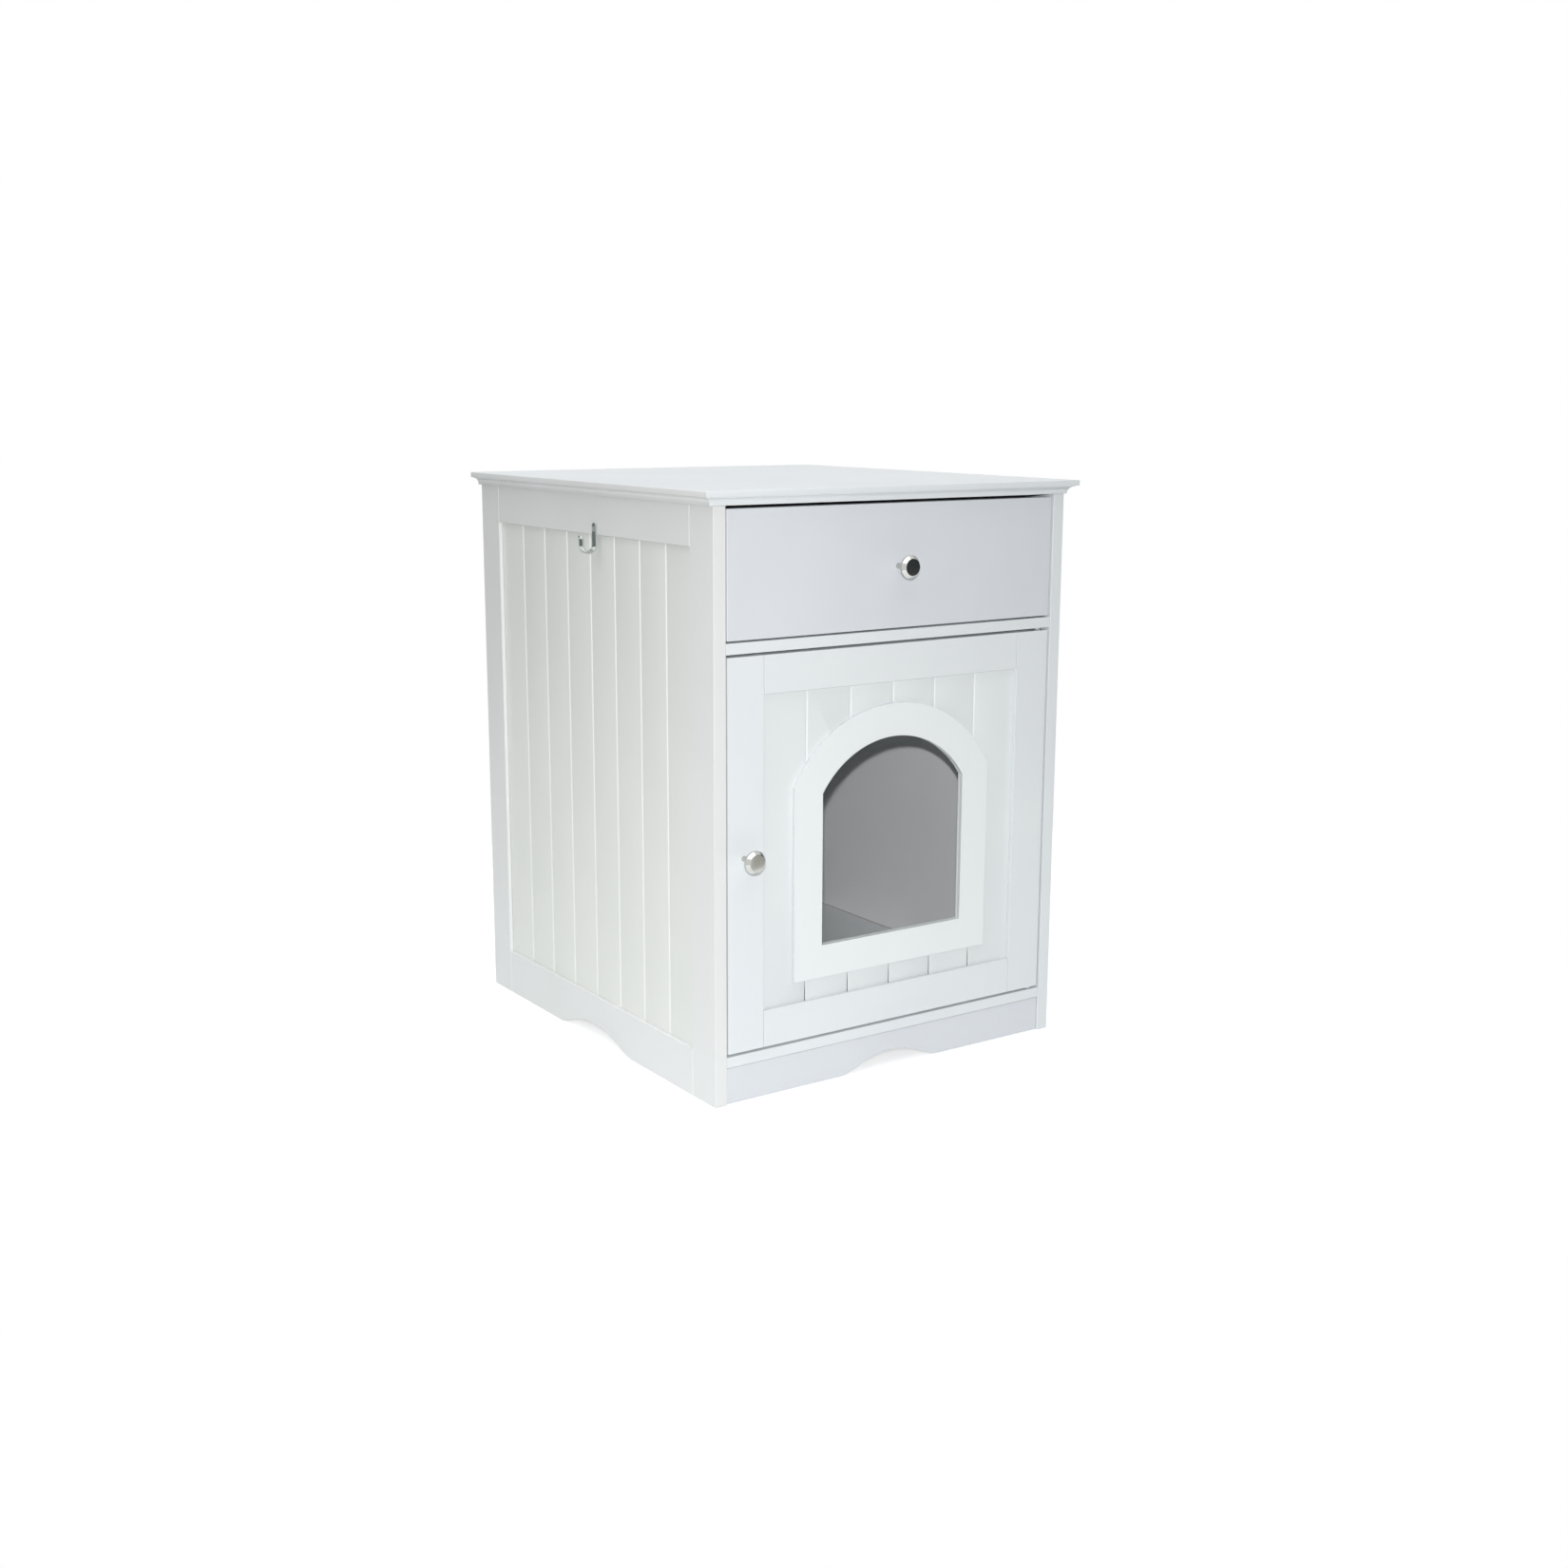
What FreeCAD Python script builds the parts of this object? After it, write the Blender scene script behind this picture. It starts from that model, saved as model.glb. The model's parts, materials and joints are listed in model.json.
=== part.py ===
"""White cat litter cabinet: carcass, drawer on roller runners, hinged door with an arched cat opening.

Millimetres, +Z up. The origin is on the floor, on the cabinet's middle plane from left to right and
half-way between the knobs' faces and the back. -Y is the front, -X the left side as seen from the front.
"""
import FreeCAD, Part

import math
import os

V = FreeCAD.Vector

# ---------------------------------------------------------------- driving dimensions
# Carcass
BODY_W = 464.0            # across the outer faces of the two sides
BODY_D = 521.0            # front edges of the sides to their back edges
BODY_H = 626.0            # floor to the underside of the top board
SIDE_T = 15.0             # thickness of a side's frame
STILE_W = 45.0            # upright frame members of a side
TOP_RAIL_H = 43.0         # upper frame member of a side
BOTTOM_RAIL_H = 53.0      # lower frame member of a side
SIDE_BOARDS = 8           # boards that a side's grooved panel imitates
SHELF_T = 12.0            # bottom panel and the shelf under the drawer
DRAWER_OPENING_H = 137.0  # shelf to the underside of the top board
APRON_H = 41.0            # board under the bottom panel, down to the floor
APRON_T = 15.0
APRON_SETBACK = 1.5       # apron's face behind the front edges
BACK_T = 3.0              # hardboard back panel
BACK_INSET = 5.0          # back edges of the sides to the back panel

# Top board and its moulded edge
TOP_T = 15.0
TOP_SIDE_OVERHANG = 13.6
TOP_FRONT_OVERHANG = 10.4
LIP_H = 6.0               # upright band at the top of the moulding
LIP_ROUND = 1.0           # its upper arris
QUIRK = 2.1               # flat step under the band
FOOT_H = 1.4              # plain strip at the bottom of the moulding
COVE_R = 6.6              # hollow between the step and the strip

# Grooved panels of the sides and the door
PANEL_T = 3.0
PANEL_RECESS = 5.0        # frame's face to the panel's face
GROOVE_DEPTH = 8.0        # how deep the frame members are grooved for the panel
BEAD_W = 2.6              # V groove between two boards
BEAD_DEPTH = 1.2
BACK_GROOVE = 6.0         # groove in stiles and bottom panel for the back panel

# Cut-outs over the floor
SIDE_CUT_W = 167.0
SIDE_CUT_H = 19.0
APRON_CUT_W = 130.0
APRON_CUT_H = 17.0
CUT_TURN_AT = 0.68        # where the curve turns, as a share of half the width
CUT_TURN_UP = 0.40        # and of the height

# Door
DOOR_T = 15.0
DOOR_STILE_W = 45.0
DOOR_RAIL_H = 41.0
DOOR_BOARDS = 6
DOOR_GAP = 2.5            # above and below the door
ARCH_HALF_W = 94.75       # half the width of the cat opening
ARCH_R = 112.0            # its round top
TRIM_BORDER = 36.5        # flat trim round the opening
TRIM_GAP = 23.0           # trim to the rails above and below it
PIVOT_IN = 10.0           # door's right edge to its pivot axis

# Drawer
FRONT_T = 15.0            # drawer front
FRONT_GAP_ABOVE = 3.2
FRONT_GAP_BELOW = 1.8
REVEAL = 2.2              # mean gap at each side of the door and the drawer front
REVEAL_SHIFT = 1.0        # how far left of the middle both are hung
BOX_T = 12.0              # drawer sides and back
BOX_H = 100.0
BOX_BACK_GAP = 4.0        # drawer's back to the back panel
BOX_BOTTOM_T = 3.0
BOX_BOTTOM_UP = 10.0      # drawer sides' lower edges to the bottom
BOX_GROOVE = 6.0          # depth of the groove that the bottom lies in
BOX_FIXINGS = (38.0, 78.0)    # drawer sides' lower edges to their cams and back screws

# Runners
RUNNER_SPACE = 12.5       # cabinet side to drawer side
RUNNER_SHEET = 1.2        # sheet thickness
RUNNER_LIFT = 3.0         # shelf to the fixed runner
RUNNER_FLANGE = 10.4      # how far the fixed runner stands out
RUNNER_SET = 1.0          # fixed runner behind the drawer front, and past the drawer's back
RUNNER_SCREW_IN = 26.0    # fixed runner's ends to its screws
BOX_LIFT = 2.0            # fixed runner's track to the moving runner's support
TRACK_IN = 2.0            # cabinet side to the moving runner's track
STOP_DROP = 4.0           # moving runner's stop, under its track
ROLLER_R = 10.0
ROLLER_W = 6.0
ROLLER_OFFSET = 3.6       # cabinet side to the roller
ROLLER_SETBACK = 11.0     # runner's end to the roller's axle
AXLE_R = 2.5
DRAWER_TRAVEL = 385.0

# Fittings
KNOB_REACH = 25.5         # face of the knob in front of the board
KNOB_R = 12.5
KNOB_FACE_R = 8.5
KNOB_STEM_R = 3.2
KNOB_HEAD = 9.5           # depth of the head from its face
KNOB_RIM = 2.4            # width of the plain rim
KNOB_BEVEL = 3.6
KNOB_SIDES = 36           # facets round the head
KNOB_BORE = 9.0
KNOB_SCREW_R = 2.0
KNOB_INSET = 20.0         # door's left edge to its knob
CAM_R = 6.0
CAM_SIDES = 8
CAM_SETBACK = 24.0        # joint to the middle of the cam
CAM_WEB = 2.5             # board left behind a cam
CAM_IN = 30.0             # panel's edge to the middle of its cam
BOLT_R = 2.2
BOLT_HEAD_R = 2.8
BOLT_HEAD_L = 4.0
BITE = 10.0               # how deep bolts and dowels sit in the second board
DOWEL_R = 3.0
DOWEL_REACH = 20.0
DOWEL_IN = 17.0           # panel's edge to its dowel
APRON_DOWEL_IN = 12.0     # apron's lower and upper edges to its dowels
PIN_R = 2.5               # pivot pins of the door
BUSH_R = 4.0
BUSH_L = 14.0
COLLAR_R = 5.5            # collar on the pin that the door turns on
CATCH_W = 46.0            # across the catch's ears
CATCH_D = 15.0
CATCH_H = 13.0
CATCH_IN = 60.0           # cabinet side to the middle of the catch
EAR_T = 2.5
EAR_W = 10.0
EAR_INSET = 2.0           # ears narrower than the housing, front and back
MAGNET_W = 20.0
MAGNET_H = 7.0
MAGNET_D = 12.0
STRIKE_W = 34.0
STRIKE_H = 10.0
STRIKE_T = 1.2
HOOK_Y = 240.0            # front edge of the side to the hook
HOOK_TOP_DROP = 30.0      # underside of the top board to the hook's upper end
HOOK_W = 9.0
HOOK_T = 1.6
HOOK_R = 8.0              # centre line of the bend
HOOK_PLATE = 23.0         # upper end to the bend
HOOK_TIP = 9.0            # bend to the tip
HOOK_CURL = 3.2           # centre line of the tip's outward curl
HOOK_SCREW_DOWN = 6.0     # upper end to the screw

# Screws: radius of the shank and length under the head
BOX_SCREW = (1.8, 36.0)
FIXED_RUNNER_SCREW = (1.6, 6.2)
MOVING_RUNNER_SCREW = (1.5, 8.0)
CATCH_SCREW = (1.6, 9.0)
STRIKE_SCREW = (1.5, 10.2)
HOOK_SCREW = (1.5, 12.0)

# Clearances
FIT = 0.1                 # around dowels, bolts, panels in grooves
END_PLAY = 0.5            # at the ends of pins and tongues
RUNNING = 0.05            # pivot pin in its bush, axle in its roller
AIR = 0.3                 # between pieces that slide or turn past each other

# ---------------------------------------------------------------- derived levels
FRONT = -(BODY_D - KNOB_REACH) / 2
BACK = FRONT + BODY_D
LEFT = -BODY_W / 2
INNER = LEFT + SIDE_T                      # inner face of the left side's frame
FLOOR_TOP = APRON_H + SHELF_T
SHELF_TOP = BODY_H - DRAWER_OPENING_H
SHELF_Z = SHELF_TOP - SHELF_T
PANEL_BACK = BACK - BACK_INSET - BACK_T    # front face of the back panel
TONGUE = GROOVE_DEPTH - END_PLAY

MOULDING_REACH = COVE_R + QUIRK + LIP_ROUND
TOP_FLAT = MOULDING_REACH - LIP_ROUND      # foot of the moulding to the edge of the flat top face

DOOR_X0 = INNER + REVEAL - REVEAL_SHIFT
DOOR_X1 = -INNER - REVEAL - REVEAL_SHIFT
DOOR_Z0 = FLOOR_TOP + DOOR_GAP
DOOR_Z1 = SHELF_Z - DOOR_GAP
DOOR_MID = (DOOR_X0 + DOOR_X1) / 2
PIVOT_X = DOOR_X1 - PIVOT_IN
PIVOT_Y = FRONT + DOOR_T / 2
TRIM_T = PANEL_RECESS
SILL_Z = DOOR_Z0 + DOOR_RAIL_H + TRIM_GAP + TRIM_BORDER
ARCH_Z = DOOR_Z1 - DOOR_RAIL_H - TRIM_GAP - TRIM_BORDER - ARCH_R   # centre of the round top

SLAB_Z0 = SHELF_TOP + FRONT_GAP_BELOW
SLAB_Z1 = BODY_H - FRONT_GAP_ABOVE
BOX_Y0 = FRONT + FRONT_T
BOX_Y1 = PANEL_BACK - BOX_BACK_GAP
BOX_X = INNER + RUNNER_SPACE               # outer face of the drawer's left side
AXLE_Z = SHELF_TOP + RUNNER_LIFT + RUNNER_SHEET + AIR + ROLLER_R
TRACK_Z = AXLE_Z + ROLLER_R + AIR          # underside of the moving runner's track
BOX_Z0 = SHELF_TOP + RUNNER_LIFT + 2 * RUNNER_SHEET + BOX_LIFT
BOTTOM_Z = BOX_Z0 + BOX_BOTTOM_UP
RUNNER_Y0 = BOX_Y0 + RUNNER_SET            # front end of the fixed runner
RUNNER_Y1 = BOX_Y1 + RUNNER_SET
FRONT_AXLE_Y = RUNNER_Y0 + ROLLER_SETBACK
BACK_AXLE_Y = BOX_Y1 - ROLLER_SETBACK

KNOB_Z = (DOOR_Z0 + DOOR_Z1) / 2           # door's knob
SLAB_MID_Z = (SLAB_Z0 + SLAB_Z1) / 2       # drawer's knob
CATCH_X = INNER + CATCH_IN
CATCH_Y = FRONT + DOOR_T + STRIKE_T + AIR
CATCH_Z = SHELF_Z - CATCH_H / 2
HOOK_TOP = V(LEFT, FRONT + HOOK_Y, BODY_H - HOOK_TOP_DROP)


# ---------------------------------------------------------------- helpers
def box(x0, x1, y0, y1, z0, z1):
    """Board between two corners."""
    return Part.makeBox(x1 - x0, y1 - y0, z1 - z0, V(x0, y0, z0))


def carve(shape, tools):
    """Shape without the tools."""
    return shape.cut(Part.makeCompound(list(tools)))


def joined(shapes):
    """One clean solid from pieces that touch."""
    whole = shapes[0]
    for shape in shapes[1:]:
        whole = whole.fuse(shape)
    return whole.removeSplitter()


def mirrored(shape):
    """The same piece for the other side of the cabinet."""
    return shape.mirror(V(0, 0, 0), V(1, 0, 0))


def both(shapes):
    """Pieces of the left side and their mirror images."""
    shapes = list(shapes)
    return shapes + [mirrored(shape) for shape in shapes]


def line(start, end):
    return Part.makeLine(start, end)


def arc(start, middle, end):
    return Part.Arc(start, middle, end).toShape()


def filled(edges):
    """Flat face inside a closed row of edges."""
    return Part.Face(Part.Wire(Part.__sortEdges__(edges)))


def outline_face(points):
    """Flat face inside a closed row of corners."""
    return Part.Face(Part.makePolygon(points + [points[0]]))


def turned(outline, base, axis):
    """Solid turned from (radius, distance) corners about an axis that starts at base."""
    face = outline_face([V(radius, 0, distance) for radius, distance in outline])
    solid = face.revolve(V(0, 0, 0), V(0, 0, 1), 360)
    solid.Placement = FreeCAD.Placement(base, FreeCAD.Rotation(V(0, 0, 1), axis))
    return solid


def rod(radius, start, end):
    """Round bar between two points."""
    run = end - start
    return Part.makeCylinder(radius, run.Length, start, run)


def peg(radius, start, end, end_radius=None, sides=6):
    """Bar of a few flat sides between two points, for small hidden fittings; end_radius tapers it."""
    run = end - start
    turns = [math.tau * i / sides for i in range(sides)]
    foot = [V(radius * math.cos(a), radius * math.sin(a), 0) for a in turns]
    spread = (end_radius or radius) / radius
    head = [V(p.x * spread, p.y * spread, run.Length) for p in foot]
    faces = [outline_face(foot), outline_face(head)]
    faces += [outline_face([foot[i - 1], foot[i], head[i], head[i - 1]]) for i in range(sides)]
    bar = Part.makeSolid(Part.makeShell(faces))
    bar.Placement = FreeCAD.Placement(start, FreeCAD.Rotation(V(0, 0, 1), run))
    return bar


def save(name, shape):
    """One STEP file for each piece."""
    shape.exportStep("parts/" + name + ".step")


# ---------------------------------------------------------------- fasteners
def dowel(seat, run):
    """Wood dowel across a joint, and the hole for it in both boards."""
    pin = peg(DOWEL_R, seat - run * (BITE - END_PLAY), seat + run * DOWEL_REACH)
    hole = peg(DOWEL_R + FIT, seat - run * BITE, seat + run * (DOWEL_REACH + END_PLAY))
    return pin, hole


def cam_joint(seat, run, face, board):
    """Cam bolt and cam of one joint, with the holes that they need.

    seat is where the bolt crosses the joint, run points into the board that holds the cam, face points
    out of the face that the cam is let into, and board is that board's thickness.
    """
    centre = seat + run * CAM_SETBACK
    head = centre - run * (BOLT_HEAD_L / 2)
    tip = centre + run * (BOLT_HEAD_L / 2)
    bolt = joined([peg(BOLT_R, seat - run * BITE, head), peg(BOLT_HEAD_R, head, tip)])
    thread = peg(BOLT_R + FIT, seat - run * (BITE + END_PLAY), seat)
    tunnel = peg(BOLT_HEAD_R + AIR, seat, tip + run * END_PLAY)
    mouth = centre + face * (board / 2)
    floor = mouth - face * (board - CAM_WEB)
    pocket = peg(CAM_R, floor, mouth, sides=CAM_SIDES)
    drum = peg(CAM_R - FIT, floor + face * AIR, mouth, sides=CAM_SIDES)
    return bolt, drum.cut(tunnel), [thread, tunnel, pocket]


def screw(head, run, size, sunk):
    """Screw from its head's seat, and its hole: a sunk head is level, a pan head stands proud."""
    radius, length = size
    shank = peg(radius, head, head + run * length)
    hole = peg(radius + FIT, head - run * END_PLAY, head + run * (length + END_PLAY))
    if sunk:
        cone = peg(2 * radius, head, head + run * radius, radius)
        sink = peg(2 * radius + FIT, head, head + run * radius, radius + FIT)
        return joined([shank, cone]), joined([hole, sink])
    cap = peg(2 * radius, head - run * 0.85 * radius, head)
    return joined([shank, cap]), hole


# ---------------------------------------------------------------- joints of the carcass
def shelf_joints(level):
    """Cams and dowels at the left end of a horizontal panel whose underside is at level."""
    mid = level + SHELF_T / 2
    cams = [cam_joint(V(INNER, y, mid), V(1, 0, 0), V(0, 0, -1), SHELF_T)
            for y in (FRONT + CAM_IN, BACK - CAM_IN)]
    dowels = [dowel(V(INNER, y, mid), V(1, 0, 0)) for y in (FRONT + DOWEL_IN, BACK - DOWEL_IN)]
    return cams, dowels


def top_joints():
    """Cams in the left side's top rail and dowels in its stiles, up into the top board."""
    x = LEFT + SIDE_T / 2
    cams = [cam_joint(V(x, y, BODY_H), V(0, 0, -1), V(1, 0, 0), SIDE_T)
            for y in (FRONT + STILE_W + CAM_IN, BACK - STILE_W - CAM_IN)]
    dowels = [dowel(V(x, y, BODY_H), V(0, 0, -1)) for y in (FRONT + STILE_W / 2, BACK - STILE_W / 2)]
    return cams, dowels


def apron_joints():
    """Dowels at the left end of the apron."""
    y = FRONT + APRON_SETBACK + APRON_T / 2
    return [dowel(V(INNER, y, z), V(1, 0, 0)) for z in (APRON_DOWEL_IN, APRON_H - APRON_DOWEL_IN)]


# ---------------------------------------------------------------- sides
def frame_groove(y0, y1, z0, z1):
    """Groove in the left side's frame for the panel's edge."""
    return box(LEFT + PANEL_RECESS - FIT, LEFT + PANEL_RECESS + PANEL_T + FIT, y0, y1, z0, z1)


def tongue(y0, y1, z0, z1):
    """Tongue on a rail's end that fills the stile's groove."""
    return box(LEFT + PANEL_RECESS, LEFT + PANEL_RECESS + PANEL_T, y0, y1, z0, z1)


def back_groove():
    """Groove for the back panel: open at the top, and as deep in the bottom panel as in the stiles."""
    reach = INNER - BACK_GROOVE
    return box(reach, -reach, PANEL_BACK - FIT, PANEL_BACK + BACK_T + FIT, FLOOR_TOP - BACK_GROOVE, BODY_H)


def front_stile(holes):
    inner = FRONT + STILE_W
    post = box(LEFT, INNER, FRONT, inner, 0, BODY_H)
    groove = frame_groove(inner - GROOVE_DEPTH, inner, 0, BODY_H)
    return carve(post, [groove] + holes)


def back_stile(holes):
    inner = BACK - STILE_W
    post = box(LEFT, INNER, inner, BACK, 0, BODY_H)
    groove = frame_groove(inner, inner + GROOVE_DEPTH, 0, BODY_H)
    return carve(post, [groove, back_groove()] + holes)


def top_rail(holes):
    y0 = FRONT + STILE_W
    y1 = BACK - STILE_W
    z0 = BODY_H - TOP_RAIL_H
    rail = box(LEFT, INNER, y0, y1, z0, BODY_H)
    ends = tongue(y0 - TONGUE, y1 + TONGUE, z0 + GROOVE_DEPTH, BODY_H)
    groove = frame_groove(y0, y1, z0, z0 + GROOVE_DEPTH)
    return carve(joined([rail, ends]), [groove] + holes)


def ogee_cut(middle, along, out, width, height, depth):
    """Solid to cut from a board's lower edge: a low arch whose ends sweep out along the floor.

    middle is on the floor, along runs with the edge, out runs through the board. The arch is an arc up to
    the turn, and each end is a second arc that is tangent to it there and ends on the floor.
    """
    half = width / 2
    turn = half * CUT_TURN_AT
    rise = height * CUT_TURN_UP
    crown = height - rise
    crown_r = (turn ** 2 + crown ** 2) / (2 * crown)
    slope = math.asin(turn / crown_r)
    chord = math.atan2(rise, half - turn)
    length = math.hypot(half - turn, rise)
    sag = length / 2 * math.tan((slope - chord) / 2)
    bend_u = (turn + half) / 2 - sag * math.sin(chord)
    bend_z = rise / 2 - sag * math.cos(chord)

    def at(u, z):
        return middle + along * u + V(0, 0, z)

    edges = [arc(at(-turn, rise), at(0, height), at(turn, rise)),
             arc(at(turn, rise), at(bend_u, bend_z), at(half, 0)),
             line(at(half, 0), at(half, -height)),
             line(at(half, -height), at(-half, -height)),
             line(at(-half, -height), at(-half, 0)),
             arc(at(-half, 0), at(-bend_u, bend_z), at(-turn, rise))]
    return filled(edges).extrude(out * depth)


def bottom_rail(holes):
    y0 = FRONT + STILE_W
    y1 = BACK - STILE_W
    rail = box(LEFT, INNER, y0, y1, 0, BOTTOM_RAIL_H)
    ends = tongue(y0 - TONGUE, y1 + TONGUE, 0, BOTTOM_RAIL_H - GROOVE_DEPTH)
    groove = frame_groove(y0, y1, BOTTOM_RAIL_H - GROOVE_DEPTH, BOTTOM_RAIL_H)
    middle = V(LEFT, (y0 + y1) / 2, 0)
    arch = ogee_cut(middle, V(0, 1, 0), V(1, 0, 0), SIDE_CUT_W, SIDE_CUT_H, SIDE_T)
    return carve(joined([rail, ends]), [groove, arch] + holes)


def side_panel():
    """Thin panel in the frame's grooves, with V grooves between the boards that it imitates."""
    y0 = FRONT + STILE_W
    y1 = BACK - STILE_W
    z0 = BOTTOM_RAIL_H - TONGUE
    z1 = BODY_H - TOP_RAIL_H + TONGUE
    face = LEFT + PANEL_RECESS
    panel = box(face, face + PANEL_T, y0 - TONGUE, y1 + TONGUE, z0, z1)
    pitch = (y1 - y0) / SIDE_BOARDS
    grooves = []
    for i in range(1, SIDE_BOARDS):
        y = y0 + pitch * i
        vee = outline_face([V(face, y - BEAD_W / 2, z0), V(face, y + BEAD_W / 2, z0),
                            V(face + BEAD_DEPTH, y, z0)])
        grooves.append(vee.extrude(V(0, 0, z1 - z0)))
    return carve(panel, grooves)


# ---------------------------------------------------------------- top, shelf, bottom, apron, back
def moulding(place):
    """Edges of the moulded edge from its foot up to the top face; place sets (outward, height)."""
    under_lip = TOP_T - LIP_H
    cove_top = FOOT_H + COVE_R
    bow = COVE_R * (1 - math.sqrt(0.5))
    ease = LIP_ROUND * (1 - math.sqrt(0.5))
    return [line(place(0, 0), place(0, FOOT_H)),
            arc(place(0, FOOT_H), place(bow, FOOT_H + COVE_R - bow), place(COVE_R, cove_top)),
            line(place(COVE_R, cove_top), place(COVE_R, under_lip)),
            line(place(COVE_R, under_lip), place(MOULDING_REACH, under_lip)),
            line(place(MOULDING_REACH, under_lip), place(MOULDING_REACH, TOP_T - LIP_ROUND)),
            arc(place(MOULDING_REACH, TOP_T - LIP_ROUND), place(MOULDING_REACH - ease, TOP_T - ease),
                place(TOP_FLAT, TOP_T))]


def top_board(holes):
    """Board moulded on the front and both sides; the mouldings meet in mitres at the front corners."""
    foot_x = BODY_W / 2 + TOP_SIDE_OVERHANG - MOULDING_REACH
    foot_y = FRONT - TOP_FRONT_OVERHANG + MOULDING_REACH
    start_y = foot_y - MOULDING_REACH
    top = BODY_H + TOP_T
    right = moulding(lambda u, z: V(foot_x + u, start_y, BODY_H + z))
    left = moulding(lambda u, z: V(-foot_x - u, start_y, BODY_H + z))
    across = filled(right + left + [
        line(V(foot_x + TOP_FLAT, start_y, top), V(-foot_x - TOP_FLAT, start_y, top)),
        line(V(-foot_x, start_y, BODY_H), V(foot_x, start_y, BODY_H))])
    start_x = -foot_x - MOULDING_REACH
    front = moulding(lambda u, z: V(start_x, foot_y - u, BODY_H + z))
    along = filled(front + [
        line(V(start_x, foot_y - TOP_FLAT, top), V(start_x, BACK, top)),
        line(V(start_x, BACK, top), V(start_x, BACK, BODY_H)),
        line(V(start_x, BACK, BODY_H), V(start_x, foot_y, BODY_H))])
    lengthwise = across.extrude(V(0, BACK - start_y, 0))
    crosswise = along.extrude(V(-2 * start_x, 0, 0))
    return carve(lengthwise.common(crosswise), holes)


def level_panel(level, back_y, cuts):
    """Bottom panel or shelf, between the sides from their front edges to back_y."""
    return carve(box(INNER, -INNER, FRONT, back_y, level, level + SHELF_T), cuts)


def apron(holes):
    y0 = FRONT + APRON_SETBACK
    board = box(INNER, -INNER, y0, y0 + APRON_T, 0, APRON_H)
    arch = ogee_cut(V(0, y0, 0), V(1, 0, 0), V(0, 1, 0), APRON_CUT_W, APRON_CUT_H, APRON_T)
    return carve(board, [arch] + holes)


def back_panel():
    reach = BACK_GROOVE - END_PLAY
    return box(INNER - reach, -INNER + reach, PANEL_BACK, PANEL_BACK + BACK_T, FLOOR_TOP - reach,
               BODY_H - END_PLAY)


# ---------------------------------------------------------------- door
def arch_face(half_w, radius, sill, y):
    """Door opening's outline: upright sides under a round top that meets them at a corner."""
    spring = ARCH_Z + math.sqrt(radius ** 2 - half_w ** 2)
    left = DOOR_MID - half_w
    right = DOOR_MID + half_w
    edges = [line(V(left, y, sill), V(right, y, sill)),
             line(V(right, y, sill), V(right, y, spring)),
             arc(V(right, y, spring), V(DOOR_MID, y, ARCH_Z + radius), V(left, y, spring)),
             line(V(left, y, spring), V(left, y, sill))]
    return filled(edges)


def cat_opening():
    """Everything that the opening takes away, through the trim and the panel."""
    return arch_face(ARCH_HALF_W, ARCH_R, SILL_Z, FRONT).extrude(V(0, DOOR_T, 0))


def door_groove(x0, x1, z0, z1):
    return box(x0, x1, FRONT + PANEL_RECESS - FIT, FRONT + PANEL_RECESS + PANEL_T + FIT, z0, z1)


def door_stile(x0, x1, groove_x0, holes):
    """Upright member of the door's frame, full height."""
    post = box(x0, x1, FRONT, FRONT + DOOR_T, DOOR_Z0, DOOR_Z1)
    groove = door_groove(groove_x0, groove_x0 + GROOVE_DEPTH, DOOR_Z0, DOOR_Z1)
    return carve(post, [groove] + holes)


def door_rail(z0, z1, tongue_z0, tongue_z1, groove_z0, holes):
    """Level member of the door's frame, with a tongue at each end."""
    x0 = DOOR_X0 + DOOR_STILE_W
    x1 = DOOR_X1 - DOOR_STILE_W
    rail = box(x0, x1, FRONT, FRONT + DOOR_T, z0, z1)
    ends = box(x0 - TONGUE, x1 + TONGUE, FRONT + PANEL_RECESS, FRONT + PANEL_RECESS + PANEL_T,
               tongue_z0, tongue_z1)
    groove = door_groove(x0, x1, groove_z0, groove_z0 + GROOVE_DEPTH)
    return carve(joined([rail, ends]), [groove] + holes)


def door_panel():
    x0 = DOOR_X0 + DOOR_STILE_W
    x1 = DOOR_X1 - DOOR_STILE_W
    z0 = DOOR_Z0 + DOOR_RAIL_H - TONGUE
    z1 = DOOR_Z1 - DOOR_RAIL_H + TONGUE
    face = FRONT + PANEL_RECESS
    panel = box(x0 - TONGUE, x1 + TONGUE, face, face + PANEL_T, z0, z1)
    pitch = (x1 - x0) / DOOR_BOARDS
    cuts = [cat_opening()]
    for i in range(1, DOOR_BOARDS):
        x = x0 + pitch * i
        vee = outline_face([V(x - BEAD_W / 2, face, z0), V(x + BEAD_W / 2, face, z0),
                            V(x, face + BEAD_DEPTH, z0)])
        cuts.append(vee.extrude(V(0, 0, z1 - z0)))
    return carve(panel, cuts)


def arch_trim():
    """Flat border of one width round the opening, level with the door's frame."""
    half_w = ARCH_HALF_W + TRIM_BORDER
    border = arch_face(half_w, ARCH_R + TRIM_BORDER, SILL_Z - TRIM_BORDER, FRONT)
    return border.extrude(V(0, TRIM_T, 0)).cut(cat_opening())


def pivot_pin(seat, up):
    """Pin pressed into a level panel; its collar keeps the door off the panel."""
    reach = DOOR_GAP + BUSH_L - AIR
    collar = DOOR_GAP - AIR
    pin = rod(PIN_R, seat - up * (BITE - END_PLAY), seat + up * reach)
    pin = joined([pin, peg(COLLAR_R, seat, seat + up * collar, sides=12)])
    hole = rod(PIN_R + RUNNING, seat - up * BITE, seat)
    return pin, hole


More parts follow.
